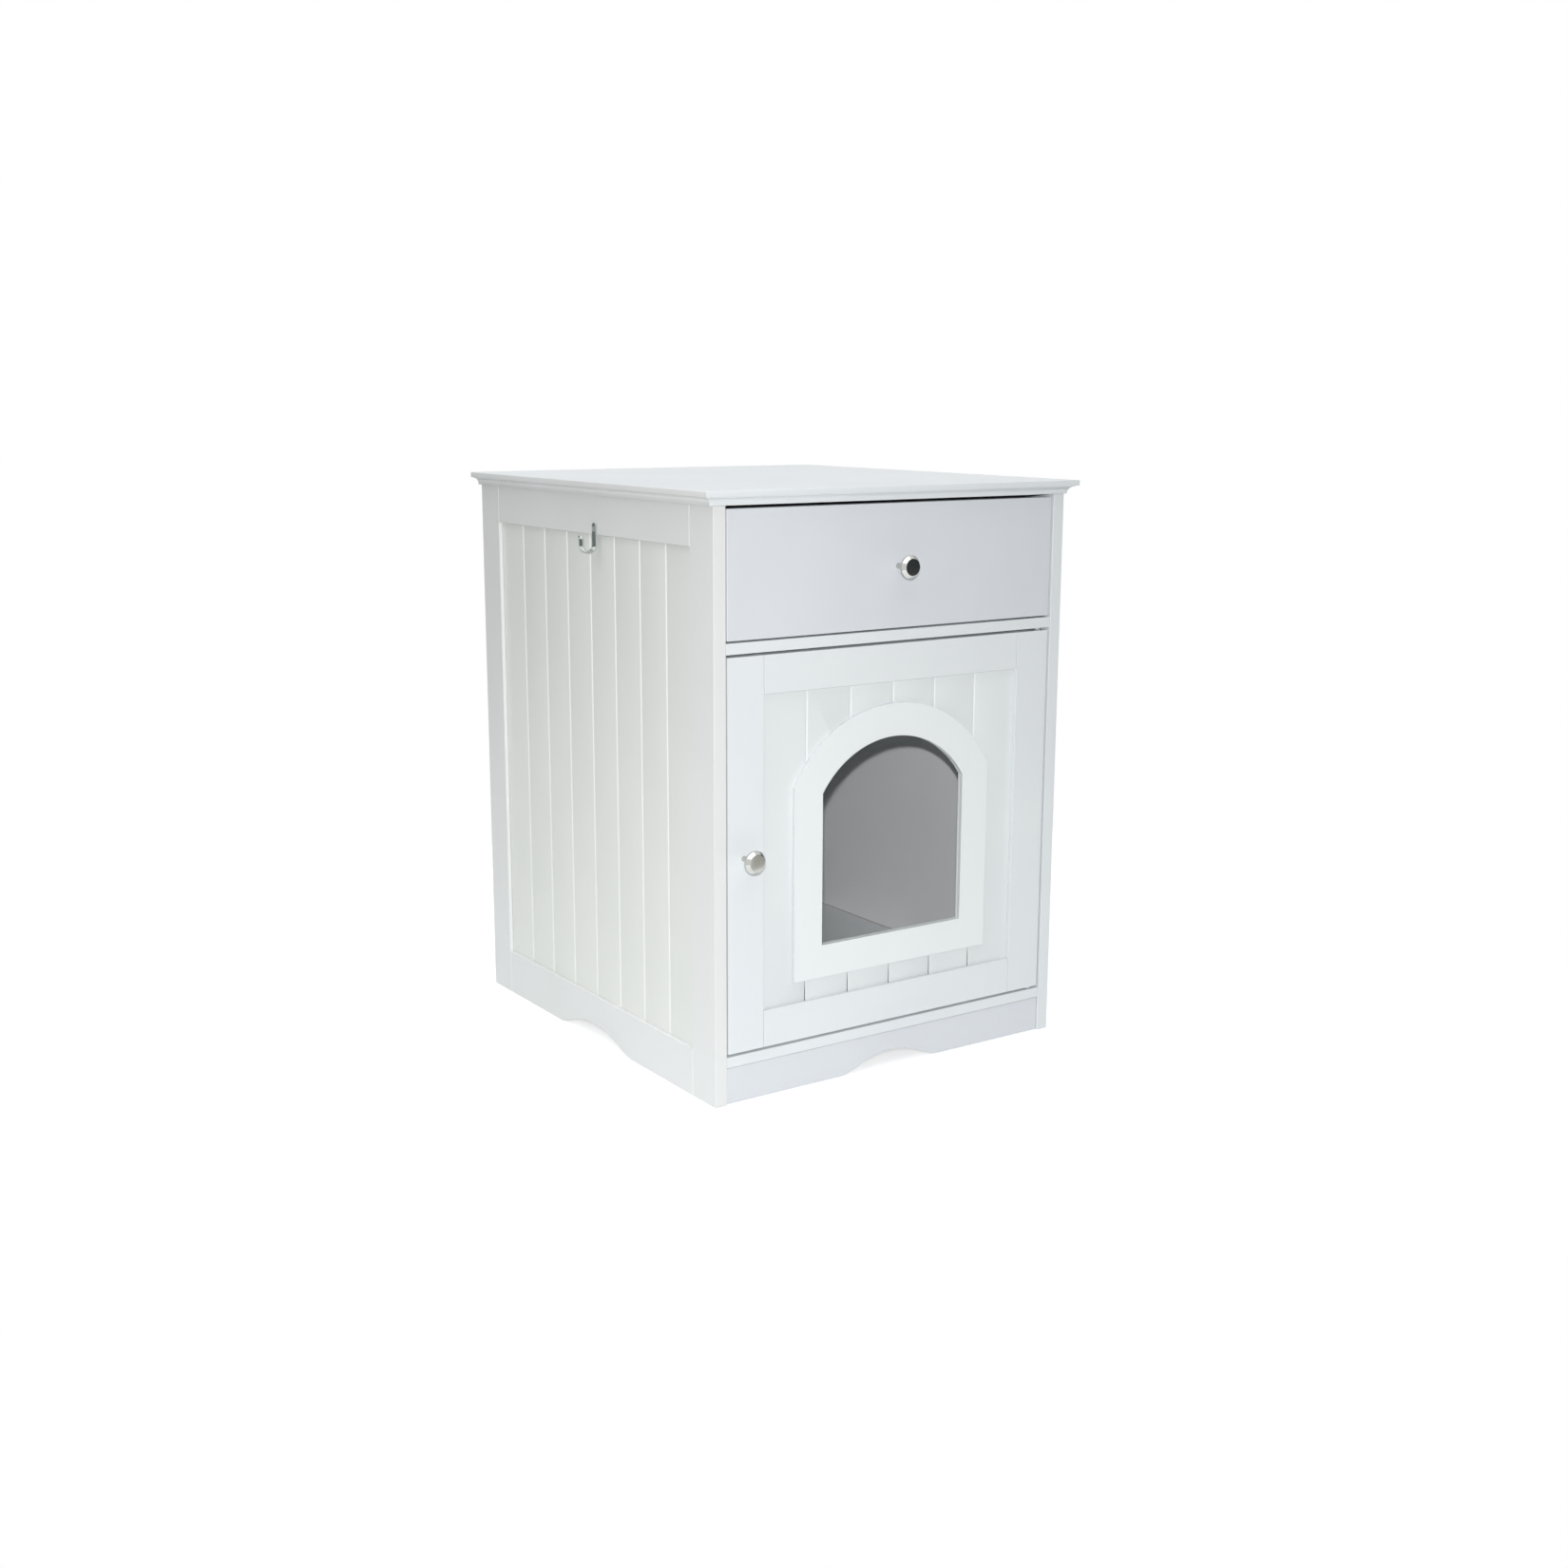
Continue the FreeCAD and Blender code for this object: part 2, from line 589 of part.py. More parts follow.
def pivot_bush(seat, up):
    """Plain bush in the end of the door's right stile, on the pin."""
    bore = PIN_R + RUNNING
    bush = turned([(bore, 0), (BUSH_R, 0), (BUSH_R, BUSH_L), (bore, BUSH_L)], seat, up)
    hole = rod(BUSH_R + RUNNING, seat, seat + up * (BUSH_L + END_PLAY))
    return bush, hole


# ---------------------------------------------------------------- drawer
def box_side(holes):
    """Left side of the drawer, grooved for the bottom."""
    side = box(BOX_X, BOX_X + BOX_T, BOX_Y0, BOX_Y1, BOX_Z0, BOX_Z0 + BOX_H)
    groove = box(BOX_X + BOX_T - BOX_GROOVE, BOX_X + BOX_T, BOX_Y0, BOX_Y1, BOTTOM_Z - FIT,
                 BOTTOM_Z + BOX_BOTTOM_T + FIT)
    return carve(side, [groove] + holes)


def box_back(holes):
    """Back of the drawer, standing on the bottom."""
    inner = BOX_X + BOX_T
    board = box(inner, -inner, BOX_Y1 - BOX_T, BOX_Y1, BOTTOM_Z + BOX_BOTTOM_T + FIT, BOX_Z0 + BOX_H)
    return carve(board, holes)


def box_bottom():
    reach = BOX_X + BOX_T - BOX_GROOVE + END_PLAY
    return box(reach, -reach, BOX_Y0 - BOX_GROOVE + END_PLAY, BOX_Y1, BOTTOM_Z, BOTTOM_Z + BOX_BOTTOM_T)


def drawer_front(holes):
    slab = box(DOOR_X0, DOOR_X1, FRONT, BOX_Y0, SLAB_Z0, SLAB_Z1)
    reach = BOX_X + BOX_T - BOX_GROOVE
    groove = box(reach, -reach, BOX_Y0 - BOX_GROOVE, BOX_Y0, BOTTOM_Z - FIT,
                 BOTTOM_Z + BOX_BOTTOM_T + FIT)
    return carve(slab, [groove] + holes)


def box_cams():
    """Cams in the drawer's left side that pull it to the front."""
    x = BOX_X + BOX_T / 2
    return [cam_joint(V(x, BOX_Y0, BOX_Z0 + up), V(0, 1, 0), V(1, 0, 0), BOX_T) for up in BOX_FIXINGS]


def box_back_screws():
    """Screws through the drawer's left side into its back."""
    y = BOX_Y1 - BOX_T / 2
    return [screw(V(BOX_X, y, BOX_Z0 + up), V(1, 0, 0), BOX_SCREW, True) for up in BOX_FIXINGS]


# ---------------------------------------------------------------- runners
def roller_axle(seat, run, gap):
    """Axle riveted to a runner, through the roller that stands gap away from it."""
    return rod(AXLE_R, seat, seat + run * (gap + ROLLER_W + AIR))


def roller(y):
    """Nylon wheel on a left runner."""
    bore = AXLE_R + RUNNING
    outline = [(bore, 0), (ROLLER_R, 0), (ROLLER_R, ROLLER_W), (bore, ROLLER_W)]
    return turned(outline, V(INNER + ROLLER_OFFSET, y, AXLE_Z), V(1, 0, 0))


def fixed_runner(holes):
    """Channel on the cabinet's left side: web, track, and a guard flange that starts behind the roller."""
    s = RUNNER_SHEET
    out = INNER + RUNNER_FLANGE
    z0 = SHELF_TOP + RUNNER_LIFT
    guard_z = TRACK_Z + s + STOP_DROP / 2
    stop_y = BACK_AXLE_Y + ROLLER_R + AIR
    web = box(INNER, INNER + s, RUNNER_Y0, RUNNER_Y1, z0, guard_z + s)
    track = box(INNER, out, RUNNER_Y0, RUNNER_Y1, z0, z0 + s)
    guard = box(INNER, out, FRONT_AXLE_Y + 3 * ROLLER_R, RUNNER_Y1, guard_z, guard_z + s)
    stop = box(INNER, out - s, stop_y, stop_y + s, z0, AXLE_Z + ROLLER_R / 2)
    axle = roller_axle(V(INNER + s, FRONT_AXLE_Y, AXLE_Z), V(1, 0, 0), ROLLER_OFFSET - s)
    return carve(joined([web, track, guard, stop, axle]), holes)


def moving_runner(holes):
    """Runner under the drawer's left side: support flange, web, and the track over the front roller."""
    s = RUNNER_SHEET
    face = BOX_X - s
    web = box(face, BOX_X, BOX_Y0, BOX_Y1, BOX_Z0 - s, TRACK_Z + s)
    support = box(face, BOX_X + BOX_T - s, BOX_Y0, BOX_Y1, BOX_Z0 - s, BOX_Z0)
    track = box(INNER + TRACK_IN, BOX_X, BOX_Y0, BOX_Y1, TRACK_Z, TRACK_Z + s)
    stop_y = FRONT_AXLE_Y + ROLLER_R + AIR + DRAWER_TRAVEL
    stop = box(INNER + ROLLER_OFFSET, BOX_X, stop_y, stop_y + s, TRACK_Z - STOP_DROP, TRACK_Z)
    gap = RUNNER_SPACE - s - ROLLER_OFFSET - ROLLER_W
    axle = roller_axle(V(face, BACK_AXLE_Y, AXLE_Z), V(-1, 0, 0), gap)
    return carve(joined([web, support, track, stop, axle]), holes)


def fixed_runner_screws():
    """Short pan screws through the runner into both stiles."""
    face = INNER + RUNNER_SHEET
    return [screw(V(face, y, AXLE_Z), V(-1, 0, 0), FIXED_RUNNER_SCREW, False)
            for y in (RUNNER_Y0 + RUNNER_SCREW_IN, RUNNER_Y1 - RUNNER_SCREW_IN)]


def moving_runner_screws():
    """Pan screws up through the support flange into the drawer side."""
    x = BOX_X + BOX_T / 2
    length = BOX_Y1 - BOX_Y0
    return [screw(V(x, BOX_Y0 + share * length, BOX_Z0 - RUNNER_SHEET), V(0, 0, 1),
                  MOVING_RUNNER_SCREW, False) for share in (1 / 8, 1 / 2, 7 / 8)]


# ---------------------------------------------------------------- knobs, catch, hook
def knob(x, z):
    """Mushroom knob on a slim stem: sloping back, plain rim, bevel and a flat face."""
    base = V(x, FRONT, z)
    out = V(0, -1, 0)
    rim = KNOB_REACH - KNOB_BEVEL
    profile = [(0, KNOB_STEM_R), (KNOB_REACH - KNOB_HEAD, KNOB_STEM_R), (rim - KNOB_RIM, KNOB_R),
               (rim, KNOB_R), (KNOB_REACH, KNOB_FACE_R)]
    slices = [peg(near_r, base + out * near, base + out * far, far_r, KNOB_SIDES)
              for (near, near_r), (far, far_r) in zip(profile, profile[1:])]
    return joined(slices).cut(peg(KNOB_SCREW_R + FIT, base, base + out * KNOB_BORE))


def knob_screw(x, z, board):
    """Screw from inside through the board into the knob."""
    size = (KNOB_SCREW_R, board + KNOB_BORE - END_PLAY)
    return screw(V(x, FRONT + board, z), V(0, -1, 0), size, False)


def catch_screws():
    """Pan screws through the catch's ears up into the shelf."""
    reach = (CATCH_W - EAR_W) / 2
    return [screw(V(CATCH_X + side * reach, CATCH_Y + CATCH_D / 2, SHELF_Z - EAR_T), V(0, 0, 1),
                  CATCH_SCREW, False) for side in (-1, 1)]


def catch_housing(holes):
    """Moulded housing under the shelf, open at the front for the magnet."""
    half = CATCH_W / 2
    y1 = CATCH_Y + CATCH_D
    ears = box(CATCH_X - half, CATCH_X + half, CATCH_Y + EAR_INSET, y1 - EAR_INSET, SHELF_Z - EAR_T,
               SHELF_Z)
    body = box(CATCH_X - half + EAR_W, CATCH_X + half - EAR_W, CATCH_Y, y1, SHELF_Z - CATCH_H, SHELF_Z)
    return carve(joined([ears, body]), [magnet_block(FIT)] + holes)


def magnet_block(grow):
    """Magnet and its steel plates, let into the housing from the front."""
    half_w = MAGNET_W / 2 + grow
    half_h = MAGNET_H / 2 + grow
    return box(CATCH_X - half_w, CATCH_X + half_w, CATCH_Y - grow, CATCH_Y + MAGNET_D + grow,
               CATCH_Z - half_h, CATCH_Z + half_h)


def strike_screw():
    return screw(V(CATCH_X, FRONT + DOOR_T + STRIKE_T, CATCH_Z), V(0, -1, 0), STRIKE_SCREW, True)


def strike_plate(holes):
    """Steel plate on the door's back that the magnet holds."""
    y0 = FRONT + DOOR_T
    top = min(CATCH_Z + STRIKE_H / 2, DOOR_Z1)
    plate = box(CATCH_X - STRIKE_W / 2, CATCH_X + STRIKE_W / 2, y0, y0 + STRIKE_T, top - STRIKE_H, top)
    return carve(plate, holes)


def scoop_hook(holes):
    """Steel strip: a plate on the side's top rail, bent round to a J whose tip curls out."""
    y = HOOK_TOP.y - HOOK_W / 2
    bend = V(LEFT - HOOK_T / 2 - HOOK_R, y, HOOK_TOP.z - HOOK_PLATE)
    curl = bend + V(-HOOK_R - HOOK_CURL, 0, HOOK_TIP - HOOK_CURL)

    def round_of(centre, radius, turns):
        start, middle, end = [centre + V(radius * math.cos(a), 0, radius * math.sin(a)) for a in turns]
        return arc(start, middle, end)

    faces = []
    for side in (1, -1):
        outer = HOOK_R + side * HOOK_T / 2
        inner = HOOK_CURL - side * HOOK_T / 2
        faces.append([
            line(V(bend.x + outer, y, HOOK_TOP.z), V(bend.x + outer, y, bend.z)),
            round_of(bend, outer, (0, -math.pi / 2, -math.pi)),
            line(V(bend.x - outer, y, bend.z), V(bend.x - outer, y, curl.z)),
            round_of(curl, inner, (0, math.pi / 4, math.pi / 2))])
    x0 = LEFT - HOOK_T
    tip_z = curl.z + HOOK_CURL
    ends = [line(V(LEFT, y, HOOK_TOP.z), V(x0, y, HOOK_TOP.z)),
            line(V(curl.x, y, tip_z - HOOK_T / 2), V(curl.x, y, tip_z + HOOK_T / 2))]
    strip = filled(faces[0] + faces[1] + ends).extrude(V(0, HOOK_W, 0))
    return carve(strip, holes)


def hook_screw():
    return screw(HOOK_TOP + V(-HOOK_T, 0, -HOOK_SCREW_DOWN), V(1, 0, 0), HOOK_SCREW, True)


# ---------------------------------------------------------------- the assembly
def write_carcass():
    shelf_cams, shelf_dowels = shelf_joints(SHELF_Z)
    floor_cams, floor_dowels = shelf_joints(APRON_H)
    top_cams, top_dowels = top_joints()
    apron_dowels = apron_joints()
    cams = shelf_cams + floor_cams + top_cams
    dowels = shelf_dowels + floor_dowels + top_dowels + apron_dowels
    runner_screws = fixed_runner_screws()
    holes = [tool for cam in cams for tool in cam[2]]
    holes += [hole for _, hole in dowels + runner_screws]
    hook_fixing, hook_hole = hook_screw()
    low_pin, low_hole = pivot_pin(V(PIVOT_X, PIVOT_Y, FLOOR_TOP), V(0, 0, 1))
    high_pin, high_hole = pivot_pin(V(PIVOT_X, PIVOT_Y, SHELF_Z), V(0, 0, -1))
    catch_fixings = catch_screws()
    catch_holes = [hole for _, hole in catch_fixings]

    sides = {"front_stile": front_stile(holes), "back_stile": back_stile(holes),
             "top_rail": top_rail(holes), "bottom_rail": bottom_rail(holes), "side_panel": side_panel()}
    for name, shape in sides.items():
        save("right_" + name, mirrored(shape))
        save("left_" + name, carve(shape, [hook_hole]))

    save("top_board", top_board(both(holes)))
    save("divider_shelf", level_panel(SHELF_Z, PANEL_BACK, both(holes) + catch_holes + [high_hole]))
    save("bottom_panel", level_panel(APRON_H, BACK, both(holes) + [low_hole, back_groove()]))
    save("front_apron", apron(both(holes)))
    save("back_panel", back_panel())
    save("cam_bolts", Part.makeCompound(both(cam[0] for cam in cams)))
    save("cams", Part.makeCompound(both(cam[1] for cam in cams)))
    save("dowels", Part.makeCompound(both(pin for pin, _ in dowels)))

    runner = fixed_runner([hole for _, hole in runner_screws])
    save("fixed_runner_left", runner)
    save("fixed_runner_right", mirrored(runner))
    save("fixed_runner_screws", Part.makeCompound(both(fixing for fixing, _ in runner_screws)))
    save("pivot_pins", Part.makeCompound([low_pin, high_pin]))
    save("catch_housing", catch_housing(catch_holes))
    save("catch_magnet", magnet_block(0))
    save("catch_screws", Part.makeCompound([fixing for fixing, _ in catch_fixings]))
    save("scoop_hook", scoop_hook([hook_hole]))
    save("hook_screw", hook_fixing)


def write_rollers():
    for name, y in (("cabinet_roller_", FRONT_AXLE_Y), ("drawer_roller_", BACK_AXLE_Y)):
        wheel = roller(y)
        save(name + "left", wheel)
        save(name + "right", mirrored(wheel))


def write_drawer():
    cams = box_cams()
    cam_holes = [tool for cam in cams for tool in cam[2]]
    back_screws = box_back_screws()
    runner_screws = moving_runner_screws()
    screw_holes = [hole for _, hole in back_screws]
    runner_holes = [hole for _, hole in runner_screws]
    knob_fixing, knob_hole = knob_screw(DOOR_MID, SLAB_MID_Z, FRONT_T)

    side = box_side(cam_holes + screw_holes + runner_holes)
    runner = moving_runner(runner_holes)
    save("drawer_front", drawer_front(both(cam_holes) + [knob_hole]))
    save("drawer_side_left", side)
    save("drawer_side_right", mirrored(side))
    save("drawer_back", box_back(both(screw_holes)))
    save("drawer_bottom", box_bottom())
    save("drawer_cam_bolts", Part.makeCompound(both(cam[0] for cam in cams)))
    save("drawer_cams", Part.makeCompound(both(cam[1] for cam in cams)))
    save("drawer_back_screws", Part.makeCompound(both(fixing for fixing, _ in back_screws)))
    save("drawer_runner_left", runner)
    save("drawer_runner_right", mirrored(runner))
    save("drawer_runner_screws", Part.makeCompound(both(fixing for fixing, _ in runner_screws)))
    save("drawer_knob", knob(DOOR_MID, SLAB_MID_Z))
    save("drawer_knob_screw", knob_fixing)


def write_door():
    low_bush, low_hole = pivot_bush(V(PIVOT_X, PIVOT_Y, DOOR_Z0), V(0, 0, 1))
    high_bush, high_hole = pivot_bush(V(PIVOT_X, PIVOT_Y, DOOR_Z1), V(0, 0, -1))
    knob_x = DOOR_X0 + KNOB_INSET
    knob_fixing, knob_hole = knob_screw(knob_x, KNOB_Z, DOOR_T)
    strike_fixing, strike_hole = strike_screw()
    inner_left = DOOR_X0 + DOOR_STILE_W
    inner_right = DOOR_X1 - DOOR_STILE_W
    top_z = DOOR_Z1 - DOOR_RAIL_H
    bottom_z = DOOR_Z0 + DOOR_RAIL_H

    save("door_left_stile", door_stile(DOOR_X0, inner_left, inner_left - GROOVE_DEPTH, [knob_hole]))
    save("door_right_stile", door_stile(inner_right, DOOR_X1, inner_right, [low_hole, high_hole]))
    save("door_top_rail", door_rail(top_z, DOOR_Z1, top_z + GROOVE_DEPTH, DOOR_Z1, top_z, [strike_hole]))
    save("door_bottom_rail", door_rail(DOOR_Z0, bottom_z, DOOR_Z0, bottom_z - GROOVE_DEPTH,
                                       bottom_z - GROOVE_DEPTH, []))
    save("door_panel", door_panel())
    save("arch_trim", arch_trim())
    save("pivot_bushes", Part.makeCompound([low_bush, high_bush]))
    save("strike_plate", strike_plate([strike_hole]))
    save("strike_screw", strike_fixing)
    save("door_knob", knob(knob_x, KNOB_Z))
    save("door_knob_screw", knob_fixing)


os.makedirs("parts", exist_ok=True)
write_carcass()
write_rollers()
write_drawer()
write_door()
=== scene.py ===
# %% [markdown]
# # A cat litter cabinet, dressed for the camera
# The cabinet is flat-pack furniture: sprayed fibreboard, a foiled drawer box, roller runners, two nickel
# knobs and a strip hook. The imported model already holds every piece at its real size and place. This
# file adds what the eye expects besides: eased arrises, a moulded edge, turned and threaded metal, and
# finishes with real texture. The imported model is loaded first, because everything below takes its place
# from it.

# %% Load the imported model
import json
import math

import bmesh
import bpy
import numpy as np
from mathutils import Matrix, Vector


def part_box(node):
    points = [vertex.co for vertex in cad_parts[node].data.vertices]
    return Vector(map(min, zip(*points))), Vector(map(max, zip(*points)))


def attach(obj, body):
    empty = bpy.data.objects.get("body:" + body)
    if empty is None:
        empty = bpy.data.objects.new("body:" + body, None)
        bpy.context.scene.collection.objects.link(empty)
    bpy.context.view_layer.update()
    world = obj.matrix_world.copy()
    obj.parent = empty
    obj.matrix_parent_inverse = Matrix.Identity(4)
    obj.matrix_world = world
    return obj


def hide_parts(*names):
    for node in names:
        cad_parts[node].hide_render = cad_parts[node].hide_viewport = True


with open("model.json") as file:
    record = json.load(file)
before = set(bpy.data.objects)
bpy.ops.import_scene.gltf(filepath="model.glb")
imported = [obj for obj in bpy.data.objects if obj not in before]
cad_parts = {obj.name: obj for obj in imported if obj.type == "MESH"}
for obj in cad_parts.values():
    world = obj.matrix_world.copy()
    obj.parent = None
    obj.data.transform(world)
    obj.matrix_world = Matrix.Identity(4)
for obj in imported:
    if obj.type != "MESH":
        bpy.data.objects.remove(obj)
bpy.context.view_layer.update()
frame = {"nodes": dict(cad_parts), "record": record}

MM = 0.001  # the scene is in metres, sizes below are in millimetres
BODY_OF = {node: body for body, nodes in frame["record"]["behaviour"]["bodies"].items() for node in nodes}


def box_mm(node):
    """Lowest corner, highest corner and middle of a node, in millimetres."""
    low, high = (np.array(corner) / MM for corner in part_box(node))
    return low, high, (low + high) / 2


# %% [markdown]
# ## The camera
# A product photograph is taken from a few metres away with a long lens, so that uprights stay nearly
# parallel. The camera's place and turn below were worked out from the cabinet's corners. Its matrix is
# built from three axes: right, up and back. A roll of a fraction of a degree turns right and up about
# back, as a tripod that isn't quite level does.

# %% Place the camera
PHOTO_PX = 1650
FOCAL_PX = 1982.7
SENSOR = 36.0
CAMERA_AT = (-1228.5, -1824.25, 734.7)
AZIMUTH, ELEVATION, ROLL = (math.radians(angle) for angle in (-34.47, 11.72, 0.21))


def camera_matrix(place, azimuth, elevation, roll):
    """Camera that looks at the object from an azimuth and an elevation: columns are right, up, back."""
    back = Vector((math.sin(azimuth) * math.cos(elevation), -math.cos(azimuth) * math.cos(elevation),
                   math.sin(elevation)))
    right = Vector((math.cos(azimuth), math.sin(azimuth), 0))
    up = back.cross(right)
    rolled_right = right * math.cos(roll) + up * math.sin(roll)
    rolled_up = up * math.cos(roll) - right * math.sin(roll)
    turn = Matrix((rolled_right, rolled_up, back)).transposed().to_4x4()
    return Matrix.Translation(place) @ turn


scene = bpy.context.scene
camera = bpy.data.objects.new("camera", bpy.data.cameras.new("camera"))
scene.collection.objects.link(camera)
camera.data.sensor_width = SENSOR
camera.data.lens = FOCAL_PX / PHOTO_PX * SENSOR
camera.matrix_world = camera_matrix(Vector(CAMERA_AT) * MM, AZIMUTH, ELEVATION, ROLL)
scene.camera = camera
print("lens, mm:", round(camera.data.lens, 2))

# %% [markdown]
# ## Helpers for every material
# A colour picked on a screen is an sRGB value, and the renderer works with linear light, so one function
# turns the first into the second. Another adds a node to a material with its settings and links, so that
# each finish below reads as a short list. A third lets one noise change both gloss and bump, as grain does.

# %% Colour and node helpers
def linear(code):
    """sRGB hex to linear light: x/12.92 below 0.04045, else ((x + 0.055) / 1.055) ** 2.4."""
    share = np.array([int(code[i:i + 2], 16) for i in (1, 3, 5)]) / 255
    light = np.where(share <= 0.04045, share / 12.92, ((share + 0.055) / 1.055) ** 2.4)
    return (*light.tolist(), 1.0)


def add_node(tree, kind, facts):
    """Adds a node; a fact that is a node or a socket is linked, any other sets an input or a property."""
    node = tree.nodes.new("ShaderNode" + kind)
    for name, fact in facts.items():
        if isinstance(fact, bpy.types.Node):
            fact = fact.outputs[0]
        if isinstance(fact, bpy.types.NodeSocket):
            tree.links.new(fact, node.inputs[name])
        elif isinstance(name, int) or name in node.inputs:
            node.inputs[name].default_value = fact
        else:
            setattr(node, name, fact)
    return node


def bare_tree(item):
    """Node tree of a material or a world, emptied."""
    item.use_nodes = True
    item.node_tree.nodes.clear()
    return item.node_tree


def new_material(name, colour, **settings):
    """A material with one Principled shader; returns the material, its tree and the shader."""
    material = bpy.data.materials.new(name)
    tree = bare_tree(material)
    shader = add_node(tree, "BsdfPrincipled", {"Base Color": linear(colour), **settings})
    add_node(tree, "OutputMaterial", {"Surface": shader})
    return material, tree, shader


def noise(tree, size, detail, place):
    """Noise with blotches of about a size in millimetres; its scale is per metre."""
    return add_node(tree, "TexNoise", {"Scale": 1 / (size * MM), "Detail": detail, "Vector": place})


def textured(tree, shader, height, roughness, swing, depth):
    """Lets a noise change the roughness by up to a swing each way, and drive a bump of a depth in mm."""
    gloss = add_node(tree, "MapRange", {"To Min": roughness - swing, "To Max": roughness + swing,
                                        "Value": height})
    bump = add_node(tree, "Bump", {"Strength": 1.0, "Distance": depth * MM, "Height": height})
    tree.links.new(gloss.outputs[0], shader.inputs["Roughness"])
    tree.links.new(bump.outputs[0], shader.inputs["Normal"])


print("mid grey in linear light:", round(linear("#808080")[0], 3))

# %% [markdown]
# ## The studio
# The cabinet stands on a white sweep in front of nothing, so the ground runs into the background. The
# world is plain white to the camera and to reflections, and a softer grey to everything else, which
# keeps the shading. The floor is matt white, and glows a little for the camera only, so that it clips to
# white while the cabinet's own shadow still shows at its foot.

# %% World and floor
WORLD_LIGHT = 0.20
FLOOR_SIZE = 1900
FLOOR_WHITE = "#dddfdf"
FLOOR_GLOW = 0.60  # what the camera sees on top of the floor's own light
WHITE = (1, 1, 1, 1)

scene.view_settings.view_transform = "Standard"


def seen_directly(tree):
    """1 for rays from the camera and for those that a mirror or a glass sends on, else 0."""
    path = add_node(tree, "LightPath", {}).outputs
    seen = add_node(tree, "Math", {"operation": "MAXIMUM", 0: path["Is Camera Ray"],
                                   1: path["Is Glossy Ray"]})
    return add_node(tree, "Math", {"operation": "MAXIMUM", 0: seen, 1: path["Is Transmission Ray"]})


def white_world():
    """Uniform white world: full white where it is looked at, WORLD_LIGHT where it only lights."""
    world = bpy.data.worlds.new("studio")
    tree = bare_tree(world)
    strength = add_node(tree, "MapRange", {"To Min": WORLD_LIGHT, "Value": seen_directly(tree)})
    light = add_node(tree, "Background", {"Color": WHITE, "Strength": strength})
    add_node(tree, "OutputWorld", {"Surface": light})
    return world


def floor_material():
    """Matt white paper with a glow that only the camera and mirrors see."""
    material = bpy.data.materials.new("sweep_paper")
    tree = bare_tree(material)
    paper = add_node(tree, "BsdfDiffuse", {"Color": linear(FLOOR_WHITE)})
    strength = add_node(tree, "Math", {"operation": "MULTIPLY", 0: seen_directly(tree), 1: FLOOR_GLOW})
    glow = add_node(tree, "Emission", {"Color": WHITE, "Strength": strength})
    both = add_node(tree, "AddShader", {0: paper, 1: glow})
    add_node(tree, "OutputMaterial", {"Surface": both})
    return material


def flat_sheet(name, width, height, material):
    """Rectangle about its own middle that faces +Z."""
    w, h = width / 2 * MM, height / 2 * MM
    mesh = bpy.data.meshes.new(name)
    mesh.from_pydata([(-w, -h, 0), (w, -h, 0), (w, h, 0), (-w, h, 0)], [], [(0, 1, 2, 3)])
    mesh.materials.append(material)
    return bpy.data.objects.new(name, mesh)


scene.world = white_world()
floor = flat_sheet("floor", FLOOR_SIZE, FLOOR_SIZE, floor_material())
scene.collection.objects.link(floor)
print("floor, mm:", FLOOR_SIZE)

# %% [markdown]
# ## The lamps and the cards
# Inside the cat opening a narrow crescent of shadow lies under the arch and nowhere else. So the main
# light is small and stands just above the lens, and it is near enough to fall off across the cabinet. It
# would leave a hard white patch on the satin top for anyone who looks from behind, so reflections show
# only a faint twin of it. Two very wide suns add soft light: one from above, cool as a white ceiling,
# which the floor throws back up, and one for the back. Bright metal shows what stands round it, and
# here that has to be dark in places, or a nickel knob would look like chalk. Cards in greys do this, as in
# a real studio, and only reflections see them.

# %% Lamps and cards
KEY_SHIFT = (0, 0, 92)  # from the lens to the main light
KEY_AIM = (0, -100, 300)
KEY_SIZE, KEY_POWER, GLINT_POWER = 26, 24.0, 0.3
CEILING = ((0.36, 0.09, -0.93), 1.48, 80, "#f8fcff")  # way it shines, strength, spread, tone
BACK_FILL = ((-0.45, -0.75, -0.20), 1.2, 70, "#ffffff")


def aimed(item, at, aim):
    """Puts an item at a point, with its -Z axis towards another, and links it."""
    item.rotation_mode = "QUATERNION"
    item.location = Vector(at) * MM
    item.rotation_quaternion = (Vector(aim) - Vector(at)).to_track_quat("-Z", "Y")
    scene.collection.objects.link(item)
    return item


def small_lamp(name, power):
    """Small square lamp just above the lens."""
    at = [lens + shift for lens, shift in zip(CAMERA_AT, KEY_SHIFT)]
    light = aimed(bpy.data.objects.new(name, bpy.data.lights.new(name, "AREA")), at, KEY_AIM)
    light.data.energy = power
    light.data.size = KEY_SIZE * MM
    return light


def wide_sun(name, travel, strength, spread, tone):
    """Sun that shines one way from a disc of the sky that is spread degrees wide."""
    light = aimed(bpy.data.objects.new(name, bpy.data.lights.new(name, "SUN")), (0, 0, 0), travel)
    light.data.energy = strength
    light.data.angle = math.radians(spread)
    light.data.color = linear(tone)[:3]
    return light


small_lamp("main_light", KEY_POWER).visible_glossy = False
small_lamp("glint", GLINT_POWER).visible_diffuse = False
wide_sun("ceiling", *CEILING)
wide_sun("back_fill", *BACK_FILL).visible_glossy = False

CARDS = {  # middle, aim, width, height, tone
    "card_right": ((1350, -1250, 850), (0, 0, 850), 1900, 1300, "#3a3e42"),
    "card_low": ((1350, -1250, -150), (0, 0, -150), 1900, 700, "#c4c4be"),
    "card_side": ((1500, 0, 600), (0, 0, 600), 1600, 1200, "#41474b"),
    "card_behind": ((-1150, 1500, 620), (0, 0, 620), 1500, 1000, "#7c8583"),
}


